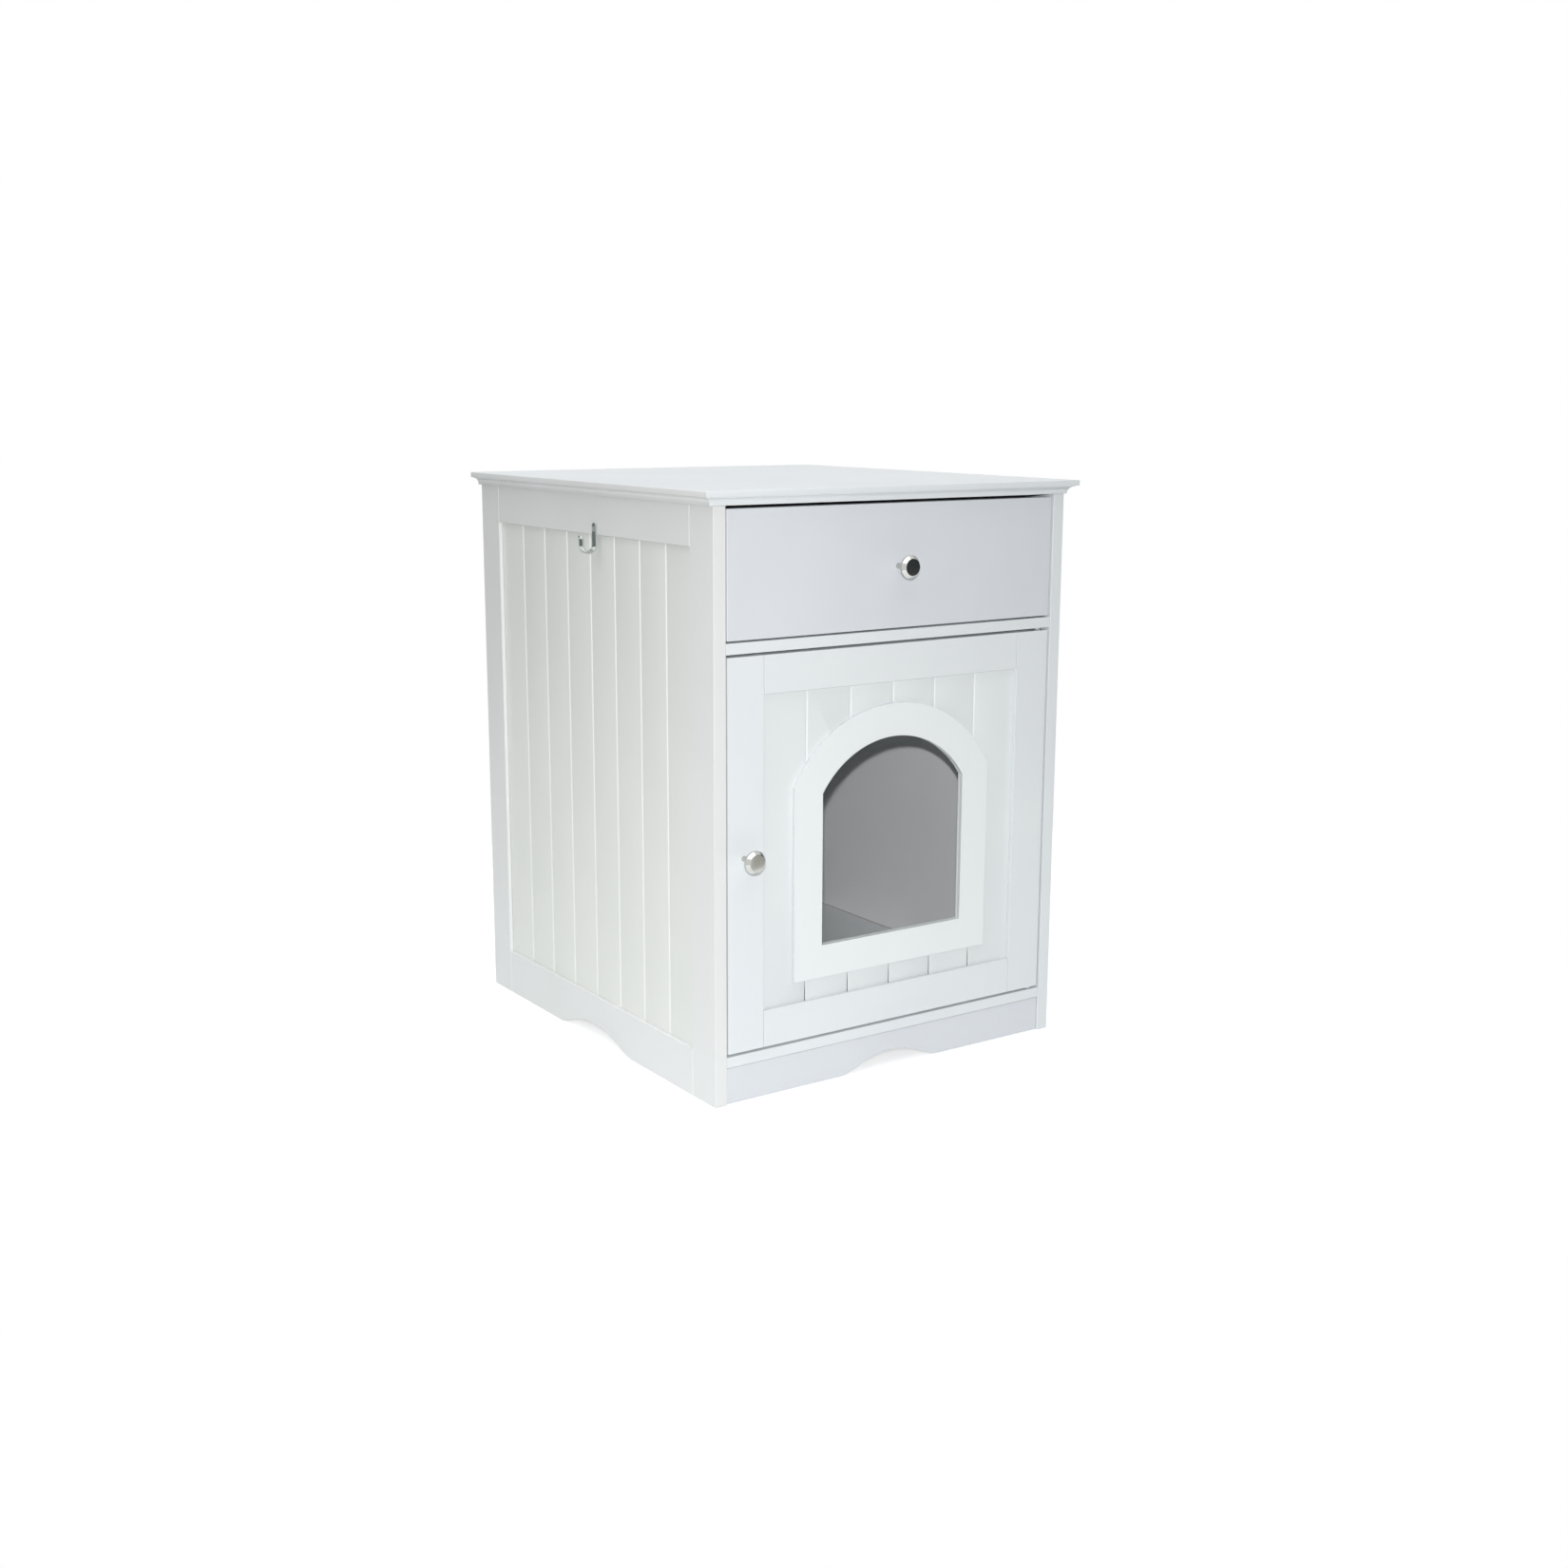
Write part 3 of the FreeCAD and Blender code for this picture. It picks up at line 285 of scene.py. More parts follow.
def card(name, middle, aim, width, height, tone):
    """Card that faces a point and shows in reflections only, always in its own tone."""
    material = bpy.data.materials.new(name)
    tree = bare_tree(material)
    add_node(tree, "OutputMaterial", {"Surface": add_node(tree, "Emission", {"Color": linear(tone)})})
    sheet = aimed(flat_sheet(name, width, height, material), middle, aim)
    sheet.visible_camera = sheet.visible_diffuse = sheet.visible_shadow = sheet.visible_transmission = False


for name, facts in CARDS.items():
    card(name, *facts)
print("cards:", ", ".join(CARDS))

# %% [markdown]
# ## Sprayed fibreboard
# The frames, the door and the top are medium-density fibreboard, sprayed with a satin white lacquer.
# Spraying leaves a faint orange peel, a few millimetres across, which breaks up a reflection, and the
# board drinks a little more paint in some places than in others, which changes its tone. Both are
# noise on Object coordinates, so they stay put when a door opens. The peel is drawn coarser than the
# real one, because a finer one wouldn't show at this distance.

# %% Lacquered and foiled boards
PEEL = 4.0  # mm, orange peel
TONE = 160.0  # mm, slow change of tone
NOISE_LOW, NOISE_HIGH = 0.3, 0.7  # nearly all noise lies between these
GLOSS_SWING = 0.04  # how far the peel changes the roughness


def board_finish(name, colour, shade, roughness, peel_depth):
    """Painted or foiled board: a slow change of tone, and peel in the bump and in the gloss."""
    material, tree, shader = new_material(name, colour, IOR=1.5)
    place = add_node(tree, "TexCoord", {}).outputs["Object"]
    spread = add_node(tree, "MapRange", {"From Min": NOISE_LOW, "From Max": NOISE_HIGH,
                                         "Value": noise(tree, TONE, 3.0, place)})
    mixed = add_node(tree, "Mix", {"data_type": "RGBA", 0: spread, 6: linear(colour), 7: linear(shade)})
    tree.links.new(mixed.outputs[2], shader.inputs["Base Color"])
    textured(tree, shader, noise(tree, PEEL, 2.0, place), roughness, GLOSS_SWING, peel_depth)
    return material


SATIN_LACQUER = board_finish("satin_lacquer_on_mdf", "#eff3f4", "#ebeff1", 0.42, 0.012)
# a more neutral copy of the satin lacquer for the side frames and the top's side faces: painted light, the
# tint the light gives the sides
SIDE_LIGHT_TINTED_LACQUER = board_finish("satin_lacquer_tinted_for_side_light", "#eff0ef", "#ebecea", 0.42, 0.012)
# a lighter copy of the satin lacquer for the raised arch trim: painted light
TRIM_LIT_LACQUER = board_finish("satin_lacquer_lit_on_trim", "#f5f9f9", "#f2f6f6", 0.42, 0.012)
# cut edges: a darker copy of the satin lacquer, which is painted shade, with a duller gloss and coarser peel
EDGE_SHADE_LACQUER = board_finish("satin_lacquer_shaded_on_cut_edge", "#e1e5e6", "#dde1e2", 0.48, 0.020)
# a warmer copy of the satin lacquer for the side panels' faces: painted light, the tint the light gives the
# sides
PANEL_LIGHT_TINTED_LACQUER = board_finish("satin_lacquer_tinted_for_panel_light", "#eff0ec", "#ebede8", 0.42, 0.012)
COOL_LACQUER = board_finish("smooth_lacquer_on_mdf", "#e6e9ed", "#e2e5ea", 0.36, 0.006)
PRINTED_FOIL = board_finish("white_paper_foil", "#f7f8f9", "#f3f4f5", 0.55, 0.004)
print("board finishes: 7")

# %% [markdown]
# ## Metals, plastics and wood
# Nickel plate on a turned knob is bright and slightly warm, with fine rings from the lathe; these follow
# the piece's own UV map, whose second number is the distance along the profile. Zinc plate is duller and
# bluish, die-cast zinc is grey and grainy, baked enamel on the runners has a soft gloss, and nylon is
# off-white and duller.

# %% Finishes of the fittings
GRAIN_SWING = 0.25  # share by which a grain changes the roughness
RING_GAP, RING_DEPTH = 0.5, 0.004  # mm, the lathe's rings
RING_GLOSS = (0.14, 0.06)  # roughness, and how far a ring changes it


def grained(name, colour, roughness, grain_mm, depth, stretch=(1, 1, 1), **settings):
    """Finish whose grain is noise on Object coordinates, stretched where the grain runs one way."""
    material, tree, shader = new_material(name, colour, **settings)
    place = add_node(tree, "TexCoord", {}).outputs["Object"]
    stretched = add_node(tree, "Mapping", {"Scale": stretch, "Vector": place})
    grain = noise(tree, grain_mm, 4.0, stretched)
    textured(tree, shader, grain, roughness, roughness * GRAIN_SWING, depth)
    return material


def turned_nickel():
    """Nickel plate on turned brass: lathe rings are noise along the profile only."""
    material, tree, shader = new_material("polished_nickel_plate", "#c4c4c0", Metallic=1.0)
    unrolled = add_node(tree, "UVMap", {"uv_map": "profile"})
    along = add_node(tree, "Mapping", {"Scale": (0, 1, 0), "Vector": unrolled})
    textured(tree, shader, noise(tree, RING_GAP, 2.0, along), *RING_GLOSS, RING_DEPTH)
    return material


NICKEL = turned_nickel()
BRIGHT_STRIP = grained("bright_nickel_strip", "#c9cccb", 0.14, 1.2, 0.002, Metallic=1.0)
ZINC_PLATE = grained("clear_zinc_plate", "#b9bfc4", 0.30, 0.8, 0.003, Metallic=1.0)
CAST_ZINC = grained("die_cast_zinc", "#8f9294", 0.48, 0.6, 0.010, Metallic=1.0)
RUNNER_ENAMEL = grained("baked_white_enamel", "#dfe1df", 0.32, 2.5, 0.004, IOR=1.5)
NYLON = grained("moulded_nylon", "#dddcd3", 0.45, 1.5, 0.004, IOR=1.53)
CATCH_PLASTIC = grained("moulded_abs", "#d9d9d4", 0.40, 1.0, 0.005, IOR=1.53)
FERRITE = grained("sintered_ferrite", "#3a3837", 0.62, 0.5, 0.012, IOR=2.0)
# dark brown like raw fibreboard, used only as a painted shadow in the gap along the floor inside
FLOOR_GAP_SHADOW = grained("painted_floor_gap_shadow", "#7b766c", 0.85, 0.8, 0.020, IOR=1.5)
BEECH = grained("turned_beech", "#c69c6d", 0.60, 1.2, 0.020, stretch=(0.2, 1, 1), IOR=1.5)
print("fittings' finishes: 10")

# %% [markdown]
# ## Boards with eased arrises
# No sprayed board has a knife edge: the arris is sanded before the paint goes on, and the paint rounds
# it further. That thin round catches the light and is what makes two boards read as two. Each board is a
# copy of its imported mesh: its loose triangles are merged, flat regions are joined into single faces, and
# a Bevel rounds what is left. Where two boards meet, a hairline stays open, so each copy is first shrunk by
# half of that with a Displace. The imported mesh itself isn't touched. The cut edges of the door's frame
# and of the arch trim get a duller finish, and a darker tone that is painted shade; the apron's joint
# stays wider open.

# %% Copies of the imported boards
HAIRLINE = 0.35  # mm, between two boards that meet
APRON_JOINT = 1.8  # mm, the same for the apron, which is fitted less tightly
MERGE, SLIVER = 0.002, 0.001  # mm: points this near are one, and edges this short go
EASE_STEPS = 2
CUT_EDGE = 0.5  # a cut edge, which takes painted shade, looks less than this share to the front
DOOR_BOARDS = 6
GROOVE_LINE, GROOVE_LINE_TONE = 1.1, "#5f6365"  # dark line along the door panel's grooves below the trim: its width in mm, and its tone
LINE_SOFT = 0.4  # share of the line's half width over which it fades
GROOVE_LINE_FADE = 12.0  # mm below the trim, over which a line gets its full tone
GROOVE_LINE_LEAST = 0.35  # share of its tone right under the trim


def finished(piece, node, finish):
    """Puts a piece on its node's body, in place of the node, with its finish."""
    body = BODY_OF[node]
    piece.data.materials.clear()
    piece.data.materials.append(finish)
    scene.collection.objects.link(piece)
    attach(piece, body)
    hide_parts(node)
    return piece


def smooth_with_sharps(mesh, angle):
    """Shades a mesh smooth, with edges sharper than the angle kept crisp."""
    mesh.shade_smooth()
    mesh.set_sharp_from_angle(angle=math.radians(angle))


def face_facts(mesh, fact):
    """Normal or centre of every face, as rows of x, y, z."""
    values = np.empty(len(mesh.polygons) * 3)
    mesh.polygons.foreach_get(fact, values)
    return values.reshape(-1, 3)


def more_finishes(mesh, finishes, numbers):
    """Adds finishes to a mesh; numbers says which one each face gets, and 0 is the one it has."""
    for finish in finishes:
        mesh.materials.append(finish)
    mesh.polygons.foreach_set("material_index", numbers)


def eased_copy(node, finish, ease, hairline):
    """Copy of a node's mesh whose arrises are rounded to ease millimetres."""
    mesh = frame["nodes"][node].data.copy()
    mesh.name = node + "_finished"
    shell = bmesh.new()
    shell.from_mesh(mesh)
    bmesh.ops.remove_doubles(shell, verts=shell.verts, dist=MERGE * MM)
    bmesh.ops.dissolve_limit(shell, angle_limit=math.radians(1), verts=shell.verts, edges=shell.edges)
    shell.to_mesh(mesh)
    shell.free()
    smooth_with_sharps(mesh, 30)
    piece = bpy.data.objects.new(mesh.name, mesh)
    finished(piece, node, finish)
    shrink = piece.modifiers.new("hairline joints", "DISPLACE")
    shrink.mid_level = 0
    shrink.strength = -hairline / 2 * math.sqrt(3) * MM  # a corner moves along three faces at once
    bevel = piece.modifiers.new("eased arrises", "BEVEL")
    bevel.width = ease * MM
    bevel.segments = EASE_STEPS
    bevel.limit_method = "ANGLE"
    bevel.angle_limit = math.radians(35)
    bevel.use_clamp_overlap = False
    bevel.harden_normals = True
    return piece


def dark_groove_lines():
    """Satin lacquer with a dark line along the door panel's grooves, below the trim only.

    Line where |x - nearest groove| is under half its width; it fades in from the trim down to the rail.
    """
    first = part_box("door_left_stile")[1][0]
    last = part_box("door_right_stile")[0][0]
    pitch = (last - first) / DOOR_BOARDS
    # the panel's tones are a little darker than the frame's satin lacquer: painted shade for the recessed
    # panel
    material = board_finish("satin_lacquer_open_grooves", "#edf1f1", "#e9edee", 0.42, 0.012)
    tree = material.node_tree
    colour = tree.nodes["Principled BSDF"].inputs["Base Color"]
    split = add_node(tree, "SeparateXYZ", {0: add_node(tree, "TexCoord", {}).outputs["Object"]}).outputs
    boards = add_node(tree, "MapRange", {"clamp": False, "From Min": first, "From Max": first + pitch,
                                         "Value": split["X"]})
    apart = add_node(tree, "Math", {"operation": "PINGPONG", 0: boards, 1: 0.5})
    half = GROOVE_LINE / 2 * MM / pitch
    line = add_node(tree, "MapRange", {"From Min": half * (1 + LINE_SOFT), "From Max": half * (1 - LINE_SOFT),
                                       "Value": apart})
    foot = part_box("arch_trim")[0][2]
    low = add_node(tree, "MapRange", {"From Min": foot, "From Max": foot - GROOVE_LINE_FADE * MM,
                                      "To Min": GROOVE_LINE_LEAST, "Value": split["Z"]})
    under = add_node(tree, "Math", {"operation": "LESS_THAN", 0: split["Z"], 1: foot})
    inside = add_node(tree, "Math", {"operation": "COMPARE", 0: split["X"], 1: (first + last) / 2,
                                     2: (last - first - pitch) / 2})
    for limit in (low, under, inside):
        line = add_node(tree, "Math", {"operation": "MULTIPLY", 0: line, 1: limit})
    painted = colour.links[0].from_socket
    mixed = add_node(tree, "Mix", {"data_type": "RGBA", 0: line, 6: painted, 7: linear(GROOVE_LINE_TONE)})
    tree.links.new(mixed.outputs[2], colour)
    return material


DOOR_FRAME = ["door_left_stile", "door_right_stile", "door_top_rail", "door_bottom_rail"]
EASED = [  # finish, slot, ease in mm, nodes
    (SATIN_LACQUER, "painted_board", 0.6, ["divider_shelf", "bottom_panel", "right_front_stile"]),
    (SIDE_LIGHT_TINTED_LACQUER, "painted_board", 0.6, ["left_front_stile", "left_back_stile", "left_top_rail",
                                          "left_bottom_rail", "right_back_stile", "right_top_rail",
                                          "right_bottom_rail"]),
    (SATIN_LACQUER, "painted_board", 0.5, DOOR_FRAME),
    (TRIM_LIT_LACQUER, "painted_board", 0.4, ["arch_trim"]),
    (COOL_LACQUER, "painted_board", 0.6, ["drawer_front"]),
    (COOL_LACQUER, "painted_board", 0.3, ["front_apron"]),
    (PRINTED_FOIL, "foiled_board", 0.3, ["back_panel", "drawer_side_left", "drawer_side_right",
                                         "drawer_back", "drawer_bottom"]),
    (RUNNER_ENAMEL, "runner_enamel", 0.25, ["fixed_runner_left", "fixed_runner_right",
                                            "drawer_runner_left", "drawer_runner_right"]),
    (dark_groove_lines(), "painted_board", 0.25, ["door_panel"]),
    (CATCH_PLASTIC, "catch_plastic", 0.35, ["catch_housing"]),
    (FERRITE, "ferrite", 0.2, ["catch_magnet"]),
    (ZINC_PLATE, "zinc_plated_steel", 0.15, ["strike_plate"]),
]
for finish, slot, ease, nodes in EASED:
    for node in nodes:
        mesh = eased_copy(node, finish, ease, APRON_JOINT if node == "front_apron" else HAIRLINE).data
        if node in (*DOOR_FRAME, "arch_trim"):
            # cut edges of the door frame and trim get a darker tone, painted shade, and a duller gloss
            cut = np.abs(face_facts(mesh, "normal")[:, 1]) < CUT_EDGE
            more_finishes(mesh, [EDGE_SHADE_LACQUER], np.where(cut, 1, 0))
print("eased boards:", sum(len(nodes) for _, _, _, nodes in EASED))

# %% [markdown]
# ## Surfaces from numbers
# The other pieces are worked out as grids of points: rows run along the piece and columns run round it.
# One function turns such a grid into faces that close round. Another eases the corners of an outline with
# small curves, as a file does.

# %% Grids and outlines
MOST_CUT = 0.45  # largest share of a run that an eased corner takes


def eased(corners, cut, steps=4):
    """Outline with each inner corner replaced by a quadratic curve that starts cut before it.

    Point at share s is (1-s)^2 a + 2 s (1-s) c + s^2 b, with a and b on the two runs at the corner c.
    """
    corners = np.asarray(corners, float)
    before, here, after = corners[:-2], corners[1:-1], corners[2:]
    back, on = before - here, after - here
    back_run = np.linalg.norm(back, axis=1, keepdims=True)
    on_run = np.linalg.norm(on, axis=1, keepdims=True)
    a = here + back / back_run * np.minimum(cut, back_run * MOST_CUT)
    b = here + on / on_run * np.minimum(cut, on_run * MOST_CUT)
    s = np.linspace(0, 1, steps + 1)[None, :, None]
    curve = (1 - s) ** 2 * a[:, None] + 2 * s * (1 - s) * here[:, None] + s ** 2 * b[:, None]
    return np.vstack([corners[:1], curve.reshape(-1, corners.shape[1]), corners[-1:]])


def mesh_of(name, points, faces):
    """Mesh from an array of points in millimetres and a list of faces."""
    mesh = bpy.data.meshes.new(name)
    mesh.from_pydata((points.reshape(-1, 3) * MM).tolist(), [], faces)
    return mesh


def grid_piece(name, grids, crisp, uv=None, lids=False):
    """Mesh object from grids of points (rows, columns, 3) in millimetres, each closed round its columns.

    Where all points of an end row are one point it becomes a pole, and its quads become triangles. With
    lids, both end rows become faces.
    """
    shell = bmesh.new()
    for grid in grids:
        rows, columns, _ = grid.shape
        index = np.arange(rows * columns).reshape(rows, columns)
        right = np.roll(index, -1, axis=1)
        quads = np.stack([index[:-1], right[:-1], right[1:], index[1:]], axis=-1).reshape(-1, 4)
        end_faces = [index[0, ::-1].tolist(), index[-1].tolist()] if lids else []
        part = mesh_of(name, grid, quads.tolist() + end_faces)
        if uv is not None:
            turn = np.broadcast_to(np.arange(columns) / columns, (rows, columns)).reshape(-1)
            run = np.broadcast_to((uv * MM)[:, None], (rows, columns)).reshape(-1)
            corners = quads.reshape(-1)
            layer = part.uv_layers.new(name="profile")
            layer.data.foreach_set("uv", np.stack([turn[corners], run[corners]], axis=-1).reshape(-1))
        shell.from_mesh(part)
        bpy.data.meshes.remove(part)
    bmesh.ops.remove_doubles(shell, verts=shell.verts, dist=MERGE * MM)
    bmesh.ops.dissolve_degenerate(shell, edges=shell.edges, dist=SLIVER * MM)
    bmesh.ops.recalc_face_normals(shell, faces=shell.faces)
    mesh = bpy.data.meshes.new(name)
    shell.to_mesh(mesh)
    shell.free()
    smooth_with_sharps(mesh, crisp)
    return bpy.data.objects.new(name, mesh)


def distance_along(line):
    """Distance of each point of a line from the first, measured along it."""
    return np.concatenate([[0], np.cumsum(np.linalg.norm(np.diff(line, axis=0), axis=1))])


def turns(sides):
    """Turn t of each column, in radians, as one row."""
    return (np.arange(sides) / sides * math.tau)[None, :]


def all_round(values, sides):
    """One row for each value, with the same value in every column."""
    return np.reshape(values, (-1, 1)) * np.ones((1, sides))


def axes_about(axis):
    """Unit axis and two more at right angles to it and to each other."""
    axis = np.asarray(axis, float) / np.linalg.norm(axis)
    helper = np.array([0, 0, 1.0]) if abs(axis[2]) < 0.9 else np.array([0, 1.0, 0])
    side = np.cross(helper, axis)
    side /= np.linalg.norm(side)
    return axis, side, np.cross(axis, side)


def swept_round(radius, along, foot, axis):
    """Grid of a turned or threaded piece: foot + along * axis + radius * (cos t * side + sin t * up).

    radius and along have one row per step of the profile and one column per step of the turn t.
    """
    axis, side, up = axes_about(axis)
    turn = turns(radius.shape[1]).T
    around = np.cos(turn) * side + np.sin(turn) * up
    return np.asarray(foot, float) + along[..., None] * axis + radius[..., None] * around[None]


def lathe(profile, foot, axis, sides=48):
    """Grid of a turned piece from its profile of (radius, distance along the axis)."""
    radius, along = np.asarray(profile, float).T
    return swept_round(all_round(radius, sides), all_round(along, sides), foot, axis)


def separate_solids(node):
    """Lowest corner, highest corner and middle, in millimetres, of each separate solid in a node.

    Corners that coincide get one number. Each triangle then hands its lowest label to its corners until
    nothing changes, which leaves one label to a solid.
    """
    mesh = frame["nodes"][node].data
    mesh.calc_loop_triangles()
    points = np.empty(len(mesh.vertices) * 3)
    mesh.vertices.foreach_get("co", points)
    triangles = np.empty(len(mesh.loop_triangles) * 3, int)
    mesh.loop_triangles.foreach_get("vertices", triangles)
    places, number = np.unique(np.round(points.reshape(-1, 3) / MM, 3), axis=0, return_inverse=True)
    triangles = number.reshape(-1)[triangles].reshape(-1, 3)
    label = np.arange(len(places))
    while True:
        lower = label.copy()
        np.minimum.at(lower, triangles.reshape(-1), np.repeat(label[triangles].min(axis=1), 3))
        lower = lower[lower]
        if (lower == label).all():
            break
        label = lower
    solids = [places[label == kind] for kind in np.unique(label)]
    boxes = [(solid.min(axis=0), solid.max(axis=0)) for solid in solids]
    return [(low, high, (low + high) / 2) for low, high in boxes]


print("dowels found:", len(separate_solids("dowels")))

# %% [markdown]
# ## The top board
# The board's front and side edges are moulded with one cutter: an upright band with a rounded arris, a
# small step, a hollow and a plain foot. The cutter's shape is a profile of distance outwards and height.
# It is carried along the left side, the front and the right side, and at the two front corners each
# point stands as far out along one edge as along the other, which is what makes a mitre. Sanding then
# cuts the four upright corners back a little.

# %% Moulded edge
COVE_R, QUIRK, LIP_ROUND, LIP_H, FOOT_H = 6.6, 2.1, 1.0, 6.0, 1.4
PAINT_EASE = 0.35  # how far paint rounds the cutter's corners
MITRE_EASE = 0.5  # how far sanding cuts back the four upright corners
LEVEL_SHARE = 0.95  # a face is level where it looks this much up or down


def quarter(centre, radius, start, stop, steps=8):
    """Points on an arc: centre + radius * (cos t, sin t)."""
    t = np.radians(np.linspace(start, stop, steps + 1))
    return np.asarray(centre) + radius * np.stack([np.cos(t), np.sin(t)], axis=-1)


def moulding_profile(thickness):
    """Distance outwards and height, from the foot of the moulding up to the flat top."""
    reach = COVE_R + QUIRK + LIP_ROUND
    hollow = quarter((COVE_R, FOOT_H), COVE_R, 180, 90)
    nose = quarter((reach - LIP_ROUND, thickness - LIP_ROUND), LIP_ROUND, 0, 90, 5)
    step = eased([hollow[-1], (COVE_R, thickness - LIP_H), (reach, thickness - LIP_H), nose[0]], PAINT_EASE)
    foot = eased([(-2, 0), (0, 0), hollow[0]], PAINT_EASE)
    return np.vstack([foot[:-1], hollow[:-1], step[:-1], nose])


def moulded_board(node):
    """Board with the profile carried round three sides and mitred, and a square back edge."""
    low, high, _ = box_mm(node)
    profile = moulding_profile(high[2] - low[2])
    out, height = profile[:, 0] - profile[:, 0].max(), profile[:, 1] + low[2]
    left, right, front = low[0] - out, high[0] + out, low[1] - out
    back = np.full_like(out, high[1])
    cut = MITRE_EASE
    places = [(left + cut, back), (left, back - cut), (left, front + cut), (left + cut, front),
              (right - cut, front), (right, front + cut), (right, back - cut), (right - cut, back)]
    rows = np.stack([np.stack([x, y, height], -1) for x, y in places])
    index = np.arange(len(places) * len(out)).reshape(len(places), len(out))
    strips = np.stack([index[:-1, :-1], index[1:, :-1], index[1:, 1:], index[:-1, 1:]], -1).reshape(-1, 4)
    faces = strips.tolist() + [index[:, -1].tolist(), index[::-1, 0].tolist(),
                               index[-1].tolist() + index[0, ::-1].tolist()]
    mesh = mesh_of("moulded_top", rows, faces)
    mesh.validate()
    smooth_with_sharps(mesh, 35)
    piece = finished(bpy.data.objects.new("moulded_top", mesh), node, SATIN_LACQUER)
    x_share, y_share, z_share = np.abs(face_facts(mesh, "normal")).T
    # faces of the moulding that look left or right take the sides' tint, which is painted light
    sideways = (z_share < LEVEL_SHARE) & (x_share > y_share)
    more_finishes(mesh, [SIDE_LIGHT_TINTED_LACQUER], np.where(sideways, 1, 0))
    return piece


print("top board, faces:", len(moulded_board("top_board").data.polygons))

# %% [markdown]
# ## The grooved side panels
# A beadboard panel imitates narrow boards: a V groove is milled every fifty-odd millimetres, and paint
# fills its bottom and rounds its lips. The panel's section, seen from above, is one outline with eased
# grooves, drawn out to the panel's height. The face is sprayed, and the back keeps the white foil that
# the sheet came with, down to the bottom panel. Lower down the back is a dark brown, which is painted
# shadow: it draws the shade in the gap along the floor as a dark line.

# %% Grooved sheets
GROOVE_W, GROOVE_DEEP, GROOVE_EASE = 2.6, 1.2, 0.5
SIDE_BOARDS = 8
BACK_SHARE = 0.9  # the sheet's back looks at least this much inwards


def grooved_outline(start, stop, first, last, thickness):
    """Outline of (across, depth): a face with V grooves between the boards, and a flat back."""
    middles = np.linspace(first, last, SIDE_BOARDS + 1)[1:-1]
    vee = np.array([[-GROOVE_W / 2, 0], [0, GROOVE_DEEP], [GROOVE_W / 2, 0]])
    grooves = (vee[None] + np.stack([middles, np.zeros_like(middles)], -1)[:, None]).reshape(-1, 2)
    face = eased(np.vstack([[(start, 0)], grooves, [(stop, 0)]]), GROOVE_EASE, 3)
    return np.vstack([face, [(stop, thickness), (start, thickness)]])


def grooved_side(node, facing):
    """Panel in a side's frame; facing is -1 for the left side and 1 for the right side."""
    low, high, _ = box_mm(node)
    side = node.split("_")[0]
    first, last = box_mm(side + "_front_stile")[1][1], box_mm(side + "_back_stile")[0][1]
    outline = grooved_outline(low[1], high[1], first, last, high[0] - low[0])
    x = (low[0] if facing < 0 else high[0]) - facing * outline[:, 1]
    foil_from = box_mm("bottom_panel")[1][2]
    levels = np.array([low[2], foil_from, high[2]])
    shape = (len(levels), len(x))
    grid = np.stack([np.broadcast_to(x, shape), np.broadcast_to(outline[:, 0], shape),
                     np.broadcast_to(levels[:, None], shape)], -1)
    piece = grid_piece(node + "_grooved", [grid], 30, lids=True)
    # the face takes the warmer tint, which is painted light
    finished(piece, node, PANEL_LIGHT_TINTED_LACQUER)
    mesh = piece.data
    behind = face_facts(mesh, "normal")[:, 0] * facing < -BACK_SHARE
    below = face_facts(mesh, "center")[:, 2] < foil_from * MM
    # the back takes the white foil, and below the bottom panel's top a painted shadow for the gap there
    more_finishes(mesh, [PRINTED_FOIL, FLOOR_GAP_SHADOW], np.where(behind, np.where(below, 2, 1), 0))
    return piece


for node, facing in (("left_side_panel", -1), ("right_side_panel", 1)):
    print(node, "faces:", len(grooved_side(node, facing).data.polygons))

# %% [markdown]
# ## The knobs
# Both knobs are turned from one bar and nickel plated: a slim stem, a sloping back, a plain rim, a bevel
# and a flat face. A turned piece is a profile that is swept once round its axis, and the eased corners are
# where the highlights sit.

# %% Turned knobs
KNOB_SIDES = 96
KNOB_BORE_R, KNOB_BORE = 2.1, 9.0
STEM_R, HEAD_DEPTH, RIM_W, BEVEL_DEPTH, FACE_R = 3.2, 9.5, 2.4, 3.6, 9.2
SHOULDER_IN, SHOULDER_DOWN = 3.6, 1.3  # where the sloping back meets the rim's own back
KNOB_EASE = 0.45


def knob_profile(reach, radius):
    """(radius, distance from the board): bore, stem, sloping back, rim, bevel and flat face."""
    rim = reach - BEVEL_DEPTH
    corners = [(0, KNOB_BORE), (KNOB_BORE_R, KNOB_BORE), (KNOB_BORE_R, 0), (STEM_R, 0),
               (STEM_R, reach - HEAD_DEPTH), (radius - SHOULDER_IN, rim - RIM_W - SHOULDER_DOWN),
               (radius, rim - RIM_W), (radius, rim), (FACE_R, reach), (0, reach)]
    return eased(corners, KNOB_EASE)


def knob(node):
    """Knob whose UV map runs round it and along its profile."""
    low, high, middle = box_mm(node)
    profile = knob_profile(high[1] - low[1], (high[0] - low[0]) / 2)
    grid = lathe(profile, (middle[0], high[1], middle[2]), (0, -1, 0), KNOB_SIDES)
    piece = grid_piece(node + "_turned", [grid], 50, distance_along(profile))
    return finished(piece, node, NICKEL)


for node in ("drawer_knob", "door_knob"):
    print(node, "faces:", len(knob(node).data.polygons))

# %% [markdown]
# ## The scoop hook
# The hook is a steel strip bent to a J, with a screw through its plate and a tip that curls outwards. A
# strip has a rounded section, and that section is carried along the bend: each row of the grid is the
# section, set at right angles to the path. Towards both ends the strip narrows as a circle does, which
# rounds its corners.

